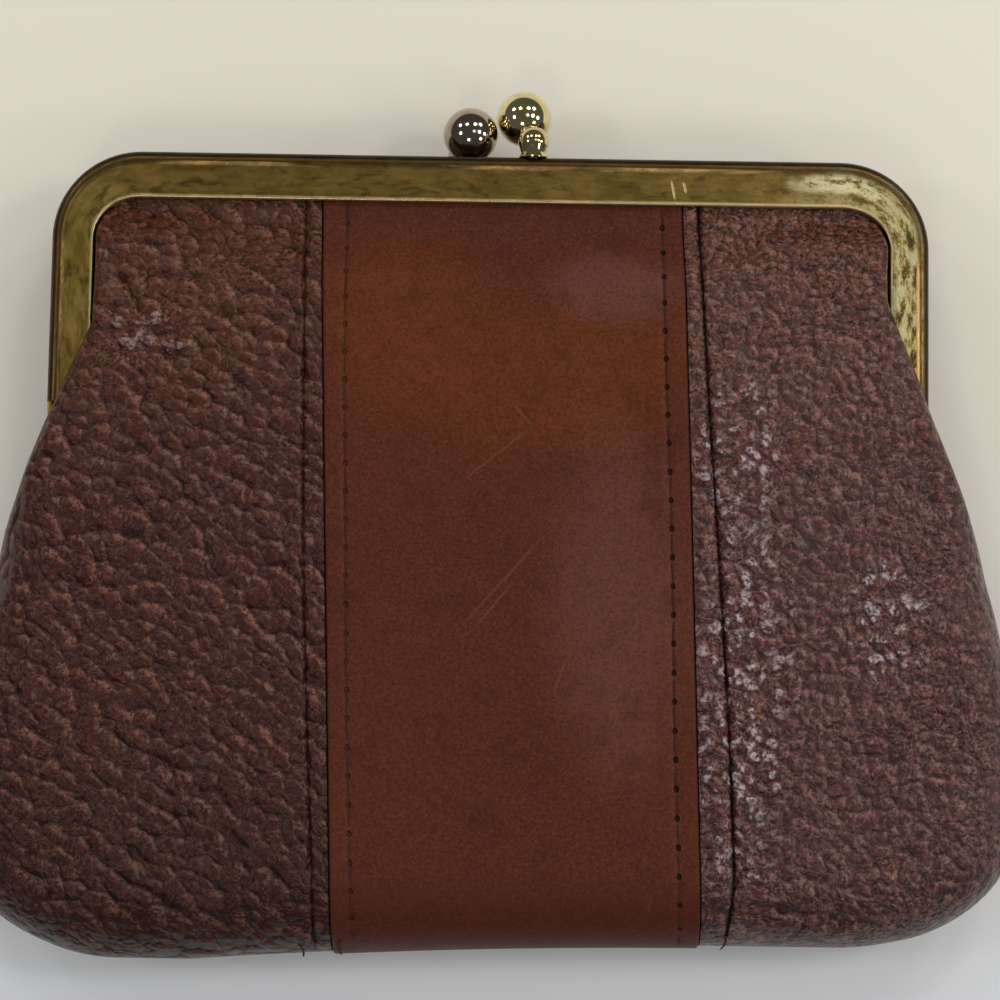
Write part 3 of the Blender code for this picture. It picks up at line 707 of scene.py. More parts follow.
@dataclass(frozen=True)
class LiningCloth:
    """Plain woven brown cotton."""

    thread: float = 0.34
    low: Colour = (0.05, 0.026, 0.015, 1.0)
    high: Colour = (0.19, 0.115, 0.07, 1.0)

    def material(self) -> Material:
        """Build the material.

        Returns:
            The material.
        """
        graph = Graph("lining_cloth_finish", self.low)
        place = graph.warped(graph.attribute("cut_place"), 4.0, 0.15)
        x, y, _ = graph.axes(place)
        turn = 2.0 * math.pi / self.thread
        weave = (x * turn).wave() * (y * turn).wave() * 0.5 + 0.5
        slub = graph.cloud(graph.stretched(place, (1.0, 0.1, 1.0)), 0.4)
        graph.lay(weave * 0.6 + slub * 0.4, self.high)
        return graph.finish(0.85, weave * 0.06 + slub * 0.03)


@dataclass(frozen=True)
class PaperCord:
    """Twisted brown paper that wedges the leather in the channel."""

    low: Colour = (0.3, 0.2, 0.12, 1.0)
    high: Colour = (0.55, 0.42, 0.28, 1.0)

    def material(self) -> Material:
        """Build the material.

        Returns:
            The material.
        """
        graph = Graph("paper_cord_finish", self.low)
        place = graph.object_place()
        x, y, height = graph.axes(place)
        twist = ((x + y * 0.6 + height * 1.5) * 4.0).wave() * 0.5 + 0.5
        fibre = graph.cloud(graph.stretched(place, (0.3, 1.0, 1.0)), 0.3, 3.0, 0.7)
        graph.lay(fibre * 0.7 + twist * 0.3, self.high)
        return graph.finish(0.8, twist * 0.05 + fibre * 0.03)


@dataclass(frozen=True)
class WaxedThread:
    """Dark brown twisted thread."""

    low: Colour = srgb(50, 22, 16)
    high: Colour = srgb(76, 36, 25)

    def material(self) -> Material:
        """Build the material.

        Returns:
            The material.
        """
        graph = Graph("waxed_thread_finish", self.low)
        place = graph.object_place()
        x, y, _ = graph.axes(place)
        ply = ((y + x * 0.9) * 14.0).wave() * 0.5 + 0.5
        fuzz = graph.cloud(place, 0.12)
        graph.lay(ply * 0.5 + fuzz * 0.5, self.high)
        return graph.finish(0.75, ply * 0.02 + fuzz * 0.01, Specular_IOR_Level=0.2)


@dataclass(frozen=True)
class TableTop:
    """Pale table, warm towards the clasp and cooler towards the bag's lower edge."""

    warm: Colour = srgb(226, 221, 210)
    cool: Colour = srgb(214, 219, 228)

    def material(self) -> Material:
        """Build the material.

        Returns:
            The material.
        """
        graph = Graph("table_top_finish", self.warm)
        place = graph.object_place()
        _, y, _ = graph.axes(place)
        graph.lay((y + graph.cloud(place, 90.0, 1.0) * 20.0).fade(-65.0, 25.0), self.cool)
        return graph.finish(0.42 + graph.cloud(place, 30.0) * 0.1, Specular_IOR_Level=0.3)


@dataclass(frozen=True)
class Finishes:
    """One material of each finish, shared by the pieces."""

    pebbled: dict[Side, Material]
    smooth: Material
    brass: Material
    balls: dict[Face, Material]
    posts: dict[Face, Material]
    cloth: Material
    paper: Material
    thread: Material
    table: Material

    @classmethod
    def mixed(cls) -> "Finishes":
        """Build every material once.

        Returns:
            The finishes.
        """
        glossy = PebbledLeather(
            "glossy_leather_finish",
            cell=1.25, stretch=(1.0, 1.0, 0.7), slant=0.0, pebble_rise=0.27, small_rise=0.14,
            wrinkle_rise=0.26, shine=0.52, seam_shade=0.85,
            glossy=(
                Oval(27.0, -1.0, 6.0, 10.0),
                Oval(27.5, -27.0, 6.5, 27.0),
                Oval(43.0, -19.0, 6.0, 9.0),
            ),
            gloss=0.16, glint=(1.0, 0.86, 0.83, 1.0), rim=0.45, hollow_shade=0.65, crack_shade=0.75, grit=0.9,
            veins=0.4, lower_shade=0.1, glint_strength=0.62, low=srgb(77, 38, 34), high=srgb(90, 48, 30),
            raised=srgb(148, 109, 97),
        )
        golden = BrightBrass("golden_brass_finish", (0.85, 0.76, 0.44, 1.0), (0.6, 0.5, 0.24, 1.0))
        smoky = BrightBrass("smoky_brass_finish", (0.5, 0.42, 0.33, 1.0), (0.33, 0.26, 0.2, 1.0))
        brown = BrightBrass("brown_brass_finish", (0.8, 0.66, 0.36, 1.0), (0.5, 0.38, 0.22, 1.0))
        tarnished = smoky.material()
        return cls(
            pebbled={Side.LEFT: PebbledLeather().material(), Side.RIGHT: glossy.material()},
            smooth=SmoothLeather().material(), brass=AgedBrass().material(),
            balls={Face.FRONT: golden.material(), Face.BACK: tarnished},
            posts={Face.FRONT: brown.material(), Face.BACK: tarnished},
            cloth=LiningCloth().material(), paper=PaperCord().material(),
            thread=WaxedThread().material(), table=TableTop().material(),
        )


# ---- meshes


@dataclass
class Shell:
    """Points and faces that grow into one mesh, in millimetres from the hinge."""

    points: list[Array] = field(default_factory=list)
    faces: list[tuple[int, ...]] = field(default_factory=list)
    flat_angle: float = math.radians(3.0)
    edge_angle: float = math.radians(30.0)

    @property
    def count(self) -> int:
        """Number of points so far."""
        return sum(len(block) for block in self.points)

    def add(self, points: Array, faces: Iterable[Sequence[int]]) -> None:
        """Add one closed part.

        Args:
            points: Its points.
            faces: Its faces, numbered from its own first point.
        """
        first = self.count
        self.points.append(np.asarray(points, float).reshape(-1, 3))
        self.faces += [tuple(first + i for i in face) for face in faces]

    def add_closed_sheet(self, outer: Array, inner: Array) -> None:
        """Add a sheet closed all round from two grids of the same shape.

        Args:
            outer: Grid of points on the outer face, columns by rows by 3.
            inner: Grid of points on the inner face.
        """
        columns, rows = outer.shape[:2]
        number = np.arange(columns * rows).reshape(columns, rows)
        faces: list[tuple[int, ...]] = []
        for offset in (0, columns * rows):
            a, b = number[:-1, :-1] + offset, number[1:, :-1] + offset
            c, d = number[1:, 1:] + offset, number[:-1, 1:] + offset
            faces += list(zip(a.ravel(), b.ravel(), c.ravel(), d.ravel()))
        sides = [number[:-1, 0], number[-1, :-1], number[:0:-1, -1], number[0, :0:-1]]
        rim = np.concatenate(sides)
        for i, j in zip(rim, np.roll(rim, -1)):
            faces.append((i, j, j + columns * rows, i + columns * rows))
        self.add(np.concatenate([outer.reshape(-1, 3), inner.reshape(-1, 3)]), faces)

    def add_swept(self, rings: Array) -> None:
        """Add a tube through a row of rings, its two ends closed.

        Args:
            rings: The rings, each a row of points of the same count.
        """
        count, size = rings.shape[:2]
        number = np.arange(count * size).reshape(count, size)
        following = np.roll(number, -1, axis=1)
        a, b = number[:-1], following[:-1]
        c, d = following[1:], number[1:]
        faces = [tuple(f) for f in zip(a.ravel(), b.ravel(), c.ravel(), d.ravel())]
        faces += [tuple(number[0]), tuple(number[-1])]
        self.add(rings, faces)

    def add_turned(
        self, profile: Sequence[tuple[float, float]], start: Vector, along: Vector, steps: int
    ) -> None:
        """Add a profile of (distance, radius) turned around an axis.

        Args:
            profile: Points from one end to the other, the ends on the axis.
            start: Place of distance 0 on the axis.
            along: Direction of the axis.
            steps: Number of sides.
        """
        turned = Vector((0.0, 0.0, 1.0)).rotation_difference(along.normalized())
        angles = [2.0 * math.pi * i / steps for i in range(steps)]
        points = [start + turned @ Vector((0.0, 0.0, profile[0][0]))]
        for distance, radius in profile[1:-1]:
            for angle in angles:
                reach = Vector((radius * math.cos(angle), radius * math.sin(angle), distance))
                points.append(start + turned @ reach)
        points.append(start + turned @ Vector((0.0, 0.0, profile[-1][0])))
        last = len(points) - 1
        rings = len(profile) - 2
        faces: list[tuple[int, ...]] = []
        for i in range(steps):
            j = (i + 1) % steps
            faces.append((0, 1 + j, 1 + i))
            for ring in range(rings - 1):
                low, high = 1 + ring * steps, 1 + (ring + 1) * steps
                faces.append((low + i, low + j, high + j, high + i))
            top = 1 + (rings - 1) * steps
            faces.append((top + i, top + j, last))
        self.add(np.array([tuple(p) for p in points]), faces)

    def add_hull(self, points: Iterable[Sequence[float]], bevel: float) -> None:
        """Add the convex solid around some points, its edges softened.

        Args:
            points: Points that the solid holds.
            bevel: Width of the softened edges in millimetres.
        """
        mesh = bmesh.new()
        for point in points:
            mesh.verts.new(point)
        found = bmesh.ops.convex_hull(mesh, input=mesh.verts[:])
        spare = [e for e in found["geom_interior"] if isinstance(e, bmesh.types.BMVert)]
        bmesh.ops.delete(mesh, geom=spare, context="VERTS")
        bmesh.ops.dissolve_limit(
            mesh, angle_limit=self.flat_angle, verts=mesh.verts[:], edges=mesh.edges[:]
        )
        edges = [e for e in mesh.edges if e.calc_face_angle(0.0) > self.edge_angle]
        bmesh.ops.bevel(mesh, geom=edges, offset=bevel, segments=2, affect="EDGES", profile=0.5)
        mesh.verts.index_update()
        shape = np.array([tuple(v.co) for v in mesh.verts])
        self.add(shape, [[v.index for v in f.verts] for f in mesh.faces])
        mesh.free()


@dataclass
class Workshop:
    """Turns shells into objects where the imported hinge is."""

    hinge: Vector
    finishes: Finishes
    sharp_angle: float = math.radians(38.0)

    def placed(self, points: Array) -> list[list[float]]:
        """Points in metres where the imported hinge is, from millimetres around it."""
        return (points * MM + np.array(self.hinge)).tolist()

    def make(
        self,
        name: str,
        shell: Shell,
        material: Material,
        marks: dict[str, Array] | None = None,
    ) -> Object:
        """Make an object of a shell.

        Args:
            name: Name of the object.
            shell: Its points and faces.
            material: Its finish.
            marks: Further places of its points for the finish, by attribute.

        Returns:
            The object, at the origin, its place in its mesh.
        """
        points = np.concatenate(shell.points)
        mesh = bpy.data.meshes.new(name)
        mesh.from_pydata(self.placed(points), [], shell.faces)
        self.turn_out(mesh)
        for mark, places in {"cut_place": points, **(marks or {})}.items():
            made = mesh.attributes.new(mark, "FLOAT_VECTOR", "POINT")
            made.data.foreach_set("vector", places.astype(np.float32).ravel())
        mesh.materials.append(material)
        mesh.shade_smooth()
        mesh.set_sharp_from_angle(angle=self.sharp_angle)
        made = bpy.data.objects.new(name, mesh)
        bpy.context.scene.collection.objects.link(made)
        LOG.info("%s: %d points, %d faces", name, len(mesh.vertices), len(mesh.polygons))
        return made

    @staticmethod
    def turn_out(mesh: bpy.types.Mesh) -> None:
        """Make every face of a mesh point outwards.

        Args:
            mesh: The mesh, closed all round.
        """
        worked = bmesh.new()
        worked.from_mesh(mesh)
        bmesh.ops.recalc_face_normals(worked, faces=worked.faces[:])
        worked.to_mesh(mesh)
        worked.free()


# ---- the bag's shape


@dataclass(frozen=True)
class Column:
    """Column of a sheet: what gives its x from y and inset, and its two insets."""

    x_at: Callable[[Array, float], Array]
    outer: float
    inner: float


@dataclass(frozen=True)
class PurseShape:
    """Sizes of the purse in millimetres, and the surfaces that follow from them."""

    frame_width: float = 95.0
    frame_height: float = 31.0
    band: float = 5.2
    depth: float = 4.6
    wall: float = 0.6
    corner: float = 9.6
    edge_round: float = 1.0
    leg_end: float = 3.4
    parting: float = 0.3
    leather: float = 1.0
    strip_proud: float = 0.3
    lap_drop: float = 0.5
    lap_width: float = 3.0
    lap_step: float = 0.3
    lining: float = 0.4
    seat_gap: float = 0.3
    slot_gap: float = 0.2
    packing: float = 0.8
    tongue_inset: float = 1.9
    body_half_width: float = 56.3
    body_length: float = 54.1
    body_shift: float = 0.7
    shift_start: float = 5.0
    shift_length: float = 20.0
    widest: float = -33.0
    bottom_taper: float = 1.5
    bottom_rise: float = 0.031
    bottom_sag: float = 1.4
    bottom_sag_reach: float = 45.0
    bottom_ends: tuple[float, float] = (-31.0, 29.0)
    corner_widths: tuple[float, float] = (15.5, 18.0)
    corner_length: float = 11.0
    hinge_half_width: float = 48.6
    fold_clearance: float = 0.2
    leg_bands: tuple[float, float] = (4.6, 4.3)
    fold_rows: tuple[tuple[float, float], ...] = ((12.0, -11.0), (15.5, 0.0))
    leave_angle: float = math.radians(36.0)
    leave_lap: float = 0.15
    front_swell: float = 7.2
    back_swell: float = 7.7
    rise_start: float = 0.8
    rise_length: float = 4.2
    slow_rise_length: float = 9.5
    slow_rise_half_width: float = 24.0
    slow_rise_fade: float = 13.0
    front_swell_length: float = 35.0
    back_swell_length: float = 6.0
    notch_top: float = -3.2
    notch_length: float = 12.0
    strip_top_x: float = 1.1
    strip_bottom_x: float = 3.9
    strip_top_width: float = 39.0
    strip_bottom_width: float = 38.8
    least_roll: float = 0.3
    seam_gap: float = 0.03
    cover_gap: float = 0.075
    row_counts: tuple[int, ...] = (5, 12, 46, 22, 58)
    roll_rows: int = 17
    halvings: int = 40

    @property
    def half_width(self) -> float:
        """Half the frame's width."""
        return self.frame_width / 2.0

    @property
    def half_gap(self) -> float:
        """Height of a channel's parting side."""
        return self.parting / 2.0

    @property
    def corner_x(self) -> float:
        """Middle of the frame's corners, across."""
        return self.half_width - self.corner

    @property
    def corner_y(self) -> float:
        """Middle of the frame's corners, along."""
        return self.frame_height - self.corner

    @property
    def face_height(self) -> float:
        """Height of the frame's flat face."""
        return self.half_gap + self.depth

    @property
    def leg_cover(self) -> float:
        """Lowest height of the leather where it passes over the legs."""
        return self.face_height + self.seat_gap

    @property
    def slot_bottom(self) -> float:
        """Height of the channel's inner floor."""
        return self.half_gap + self.wall

    @property
    def tongue_level(self) -> float:
        """Height of the leather's outer face inside the channel."""
        packed = self.slot_bottom + self.slot_gap * 2.0 + self.packing
        return packed + self.lining + self.seat_gap + self.leather

    @property
    def tongue_top(self) -> float:
        """End of the leather inside the channel."""
        return self.frame_height - self.tongue_inset

    def band_at(self, side: Side, angle: float) -> float:
        """Width of the frame's band, narrower on the legs than along the top."""
        share = ease(1.0 - angle / QUARTER)
        return float(part_way(share, self.band, self.leg_bands[side is Side.RIGHT]))

    def leave(self, side: Side) -> tuple[float, float]:
        """Where the leather's side edge comes out from under the frame's corner.

        Args:
            side: Which side edge.

        Returns:
            The place across, without the side's sign, and along.
        """
        reach = self.corner - self.band_at(side, self.leave_angle) + self.leave_lap
        x = self.corner_x + reach * math.cos(self.leave_angle)
        return x, self.corner_y + reach * math.sin(self.leave_angle)

    def fold_x(self, side: Side) -> float:
        """Half width of the leather beside the inner edge of a leg."""
        return self.half_width - self.band_at(side, 0.0) - self.fold_clearance

    @property
    def rise_y(self) -> float:
        """Where the leather starts to rise out of the channel."""
        return self.frame_height - self.band - self.rise_start

    @property
    def cover_y(self) -> float:
        """Where the leather has risen over the legs' height."""
        return self.rise_y - self.rise_length

    @property
    def cover_level(self) -> float:
        """Height of the leather's outer face where it has risen."""
        return self.leg_cover + self.leather + self.cover_gap

    @property
    def notch_end(self) -> float:
        """Where the side opening by the hinge closes."""
        return self.notch_top - self.notch_length

    def swell_at(self, y: Array | float) -> Array:
        """Half the width of the bag at y, between the hinges and its widest place."""
        share = np.sin(QUARTER * np.minimum(y / self.widest, 1.0))
        return part_way(share, self.hinge_half_width, self.body_half_width)

    def half_width_at(self, y: Array, side: Side) -> Array:
        """Half the width of the leather on one side.

        Args:
            y: Places along.
            side: Which side.

        Returns:
            The half widths.
        """
        leave_x, leave_y = self.leave(side)
        beside = self.fold_x(side)
        start, end = self.fold_rows[side is Side.RIGHT]
        tongue = part_way((y - leave_y) / (self.tongue_top - leave_y), leave_x, self.corner_x)
        swell_in = part_way((y - self.corner_y) / (leave_y - self.corner_y), beside, leave_x)
        held = np.full_like(y, beside)
        legs = part_way((start - y) / (start - end), beside, self.swell_at(end))
        share = np.maximum(self.widest - y, 0.0) / (self.widest + self.body_length)
        low = self.body_half_width - self.bottom_taper * share * share
        places = [y >= leave_y, y >= self.corner_y, y >= start, y >= end, y >= self.widest]
        return np.select(places, [tongue, swell_in, held, legs, self.swell_at(y)], low)

    def shift_at(self, y: Array) -> Array:
        """How far the bag's middle lies to the right of the frame's at y."""
        return self.body_shift * ease((self.shift_start - y) / self.shift_length)

    def bottom_at(self, x: Array | float) -> Array | float:
        """Place of the bag's lower edge, level at its two ends.

        Args:
            x: Places across.

        Returns:
            The y of the lower edge.
        """
        held = np.clip(x, *self.bottom_ends)
        away = (held - self.strip_bottom_x) / self.bottom_sag_reach
        return -self.body_length + self.bottom_rise * held - self.bottom_sag * away * away

    def corner_of(self, side: Side, inset: float) -> tuple[float, float]:
        """Width and length of the bag's rounded lower corner at a side."""
        return self.corner_widths[side is Side.RIGHT] - inset, self.corner_length - inset

    def strip_edge(self, side: Side, y: Array | float) -> Array | float:
        """Place of the centre strip's edge.

        Args:
            side: Which edge.
            y: Places along.

        Returns:
            The x of the edge.
        """
        share = (self.tongue_top - y) / (self.tongue_top + self.body_length)
        middle = part_way(share, self.strip_top_x, self.strip_bottom_x)
        width = part_way(share, self.strip_top_width, self.strip_bottom_width)
        return middle + side.value * width / 2.0

    def crown_at(self, y: Array, face: Face) -> Array:
        """Height of the leather's outer face away from its edges.

        Args:
            y: Places along.
            face: Which half.

        Returns:
            The heights.
        """
        risen = ease((self.rise_y - y) / self.rise_length)
        level = part_way(risen, self.tongue_level, self.cover_level)
        below = np.maximum(self.cover_y - y, 0.0)
        if face is Face.FRONT:
            share = np.sin(QUARTER * np.minimum(below / self.front_swell_length, 1.0))
            return level + share * (self.front_swell - self.cover_level)
        return level + ease(below / self.back_swell_length) * (self.back_swell - self.cover_level)

    def slack_at(self, x: Array, y: Array) -> Array:
        """How much lower the leather lies in the middle, where it rises slowly.

        Args:
            x: Places across.
            y: Places along.

        Returns:
            The drops.
        """
        quick = ease((self.rise_y - y) / self.rise_length)
        slow = ease((self.rise_y - y) / self.slow_rise_length)
        middle = 1.0 - ease((np.abs(x) - self.slow_rise_half_width) / self.slow_rise_fade)
        return (self.cover_level - self.tongue_level) * (quick - slow) * middle

    def roll_at(self, y: Array, face: Face, inset: float) -> tuple[Array, Array]:
        """Lowest height and depth of the rounded edge at y.

        Args:
            y: Places along.
            face: Which half.
            inset: Depth inside the skin.

        Returns:
            The height where the rounding starts, and how high it rises.
        """
        crown = self.crown_at(y, face)
        opened = ease((self.notch_top - y) / self.notch_length)
        floor = np.minimum(crown, part_way(opened, self.leg_cover, self.seam_gap))
        top = crown - inset
        roll = np.maximum(top - floor, self.least_roll)
        return top - roll, roll

    def cut_corner(self, y: Array, side: Side, inset: float) -> Array:
        """How far the rounded lower corner draws the outline in.

        Args:
            y: Places along.
            side: Which corner.
            inset: Depth inside the skin.

        Returns:
            The distances.
        """
        width, length = self.corner_of(side, inset)
        bottom = self.bottom_at(side.value * self.body_half_width) + inset
        share = np.clip(1.0 - (y - bottom) / length, 0.0, 1.0)
        return width * (1.0 - np.sqrt(1.0 - share * share))

    def rolled_x(self, y: Array, side: Side, face: Face, inset: float, turn: float) -> Array:
        """Place across the rounded side edge at y.

        Args:
            y: Places along.
            side: Which side edge.
            face: Which half.
            inset: Depth inside the skin.
            turn: 0 at the outline, 1 where the rounding ends.

        Returns:
            The x of the edge.
        """
        roll = self.roll_at(y, face, inset)[1]
        edge = self.half_width_at(y, side) - inset - self.cut_corner(y, side, inset)
        inner = roll * (1.0 - math.cos(QUARTER * turn))
        return side.value * (edge - inner) + self.shift_at(y)

    def skin_height(self, x: Array, y: Array, face: Face, inset: float) -> Array:
        """Height of the bag's skin at a set of places.

        Args:
            x: Places across.
            y: Places along.
            face: Which half.
            inset: Depth inside the skin.

        Returns:
            The heights, without the face's sign.
        """
        floor, roll = self.roll_at(y, face, inset)
        heights = []
        for side in Side:
            across = self.half_width_at(y, side) - inset - side.value * (x - self.shift_at(y))
            along = y - self.bottom_at(x) - inset
            width, length = self.corner_of(side, inset)
            in_corner = (across < width) & (along < length)
            reach = np.hypot(width - across, length - along)
            part = np.hypot(1.0 - across / width, 1.0 - along / length)
            part = np.maximum(part, SMALLEST)
            distance = np.where(in_corner, reach * (1.0 - part) / part, np.minimum(across, along))
            share = 1.0 - np.clip(distance, 0.0, roll) / roll
            heights.append(floor + roll * np.sqrt(np.maximum(1.0 - share * share, 0.0)))
        return np.minimum(heights[0], heights[1]) - self.slack_at(x, y)

    def rows(self, face: Face, inset: float, x: float) -> Array:
        """Places along Y where a sheet has its rows, top to bottom, at x.

        Args:
            face: Which half.
            inset: Depth inside the skin.
            x: Place across.

        Returns:
            The y of each row.
        """
        bottom = float(self.bottom_at(x)) + inset
        roll = float(self.roll_at(np.array(bottom), face, inset)[1])
        marks = [self.tongue_top - inset, self.rise_y, self.cover_y, self.notch_top]
        marks += [self.notch_end, bottom + roll]
        spans = zip(marks, marks[1:], self.row_counts)
        parts = [np.linspace(a, b, count, endpoint=False) for a, b, count in spans]
        turn = np.linspace(0.0, QUARTER, self.roll_rows)
        parts.append(bottom + roll * (1.0 - np.sin(turn)))
        return np.concatenate(parts)

    def column(self, face: Face, inset: float, x_at: Callable[[Array, float], Array]) -> Array:
        """Points down one column of a sheet, to the lower edge where it ends.

        Args:
            face: Which half.
            inset: Depth inside the skin.
            x_at: Gives the x of each row from its y and the inset.

        Returns:
            One row for each point.
        """
        low, high = -self.body_half_width, self.body_half_width
        for _ in range(self.halvings):
            end = (low + high) / 2.0
            ahead = x_at(np.array([self.bottom_at(end) + inset]), inset)[0] > end
            low, high = (end, high) if ahead else (low, end)
        y = self.rows(face, inset, end)
        x = x_at(y, inset)
        return np.stack([x, y, face.value * self.skin_height(x, y, face, inset)], axis=1)

    def sheet(self, face: Face, columns: Sequence[Column]) -> tuple[Array, Array]:
        """Grids of points on the outer and the inner face of a sheet.

        Args:
            face: Which half.
            columns: Columns of the sheet, from one edge to the other.

        Returns:
            Two grids, each columns by rows by 3.
        """
        outer = [self.column(face, column.outer, column.x_at) for column in columns]
        inner = [self.column(face, column.inner, column.x_at) for column in columns]
        return np.array(outer), np.array(inner)


# ---- leather


@dataclass(frozen=True)
class Crease:
    """A folded line in the leather, from one place to another."""

    start: tuple[float, float]
    end: tuple[float, float]
    depth: float
    width: float

    def depth_at(self, x: Array, y: Array) -> Array:
        """Depth of the crease, which curves a little and has a raised side.

        Args:
            x: Places across.
            y: Places along.

        Returns:
            The depths.
        """
        a, b = np.array(self.start), np.array(self.end)
        run = b - a
        share = ((x - a[0]) * run[0] + (y - a[1]) * run[1]) / (run @ run)
        held = np.clip(share, 0.0, 1.0)
        bend = 0.5 * np.sin(9.0 * held + a[0])
        away = np.hypot(x - a[0] - held * run[0], y - a[1] - held * run[1] - bend * self.width)
        ends = ease(share * 4.0 + 0.5) * ease((1.0 - share) * 4.0 + 0.5)
        raised = 0.45 * ridge(away - 2.2 * self.width, self.width)
        return self.depth * ends * (ridge(away, self.width) - raised)


@dataclass(frozen=True)
class Sag:
    """Slow waves and small folds that worn leather takes."""

    seed: float
    slow: float = 0.4
    quick: float = 0.12
    slow_size: float = 19.0
    quick_size: float = 5.5
    calm_start: float = 24.0
    calm_length: float = 6.0
    creases: tuple[Crease, ...] = ()

    def at(self, grid: Array, face: Face) -> Array:
        """Height to add over a grid of points, along the outward direction.

        Args:
            grid: Columns by rows by 3 points.
            face: Which half.

        Returns:
            The heights.
        """
        flat = grid.reshape(-1, 3)
        waves = self.slow * swirl(flat, self.slow_size, self.seed)
        waves = waves + self.quick * swirl(flat, self.quick_size, self.seed + 7.3)
        if face is Face.BACK:
            waves = waves - self.slow - self.quick
        x, y = flat[:, 0], flat[:, 1]
        for crease in self.creases:
            waves = waves - crease.depth_at(x, y)
        calm = ease((self.calm_start - y) / self.calm_length)
        return (waves * calm).reshape(grid.shape[:2])


def push_out(grid: Array, face: Face, heights: Array) -> Array:
    """Move a grid of points along its own normals, but not at the lower edge.

    Args:
        grid: Columns by rows by 3 points.
        face: Which half.
        heights: How far each point moves.

    Returns:
        The moved grid.
    """
    normal = np.cross(np.gradient(grid, axis=0), np.gradient(grid, axis=1))
    length = np.linalg.norm(normal, axis=2, keepdims=True)
    level = (0.0, 0.0, 1.0)
    normal = np.where(length > 1e-9, normal / np.maximum(length, 1e-9), level)
    middle = normal[grid.shape[0] // 2, grid.shape[1] // 2]
    if middle[2] * face.value < 0.0:
        normal = -normal
    calm = ease((grid[..., 1] - grid[:, -1:, 1]) / 1.4)
    return grid + normal * (heights * calm)[..., None]


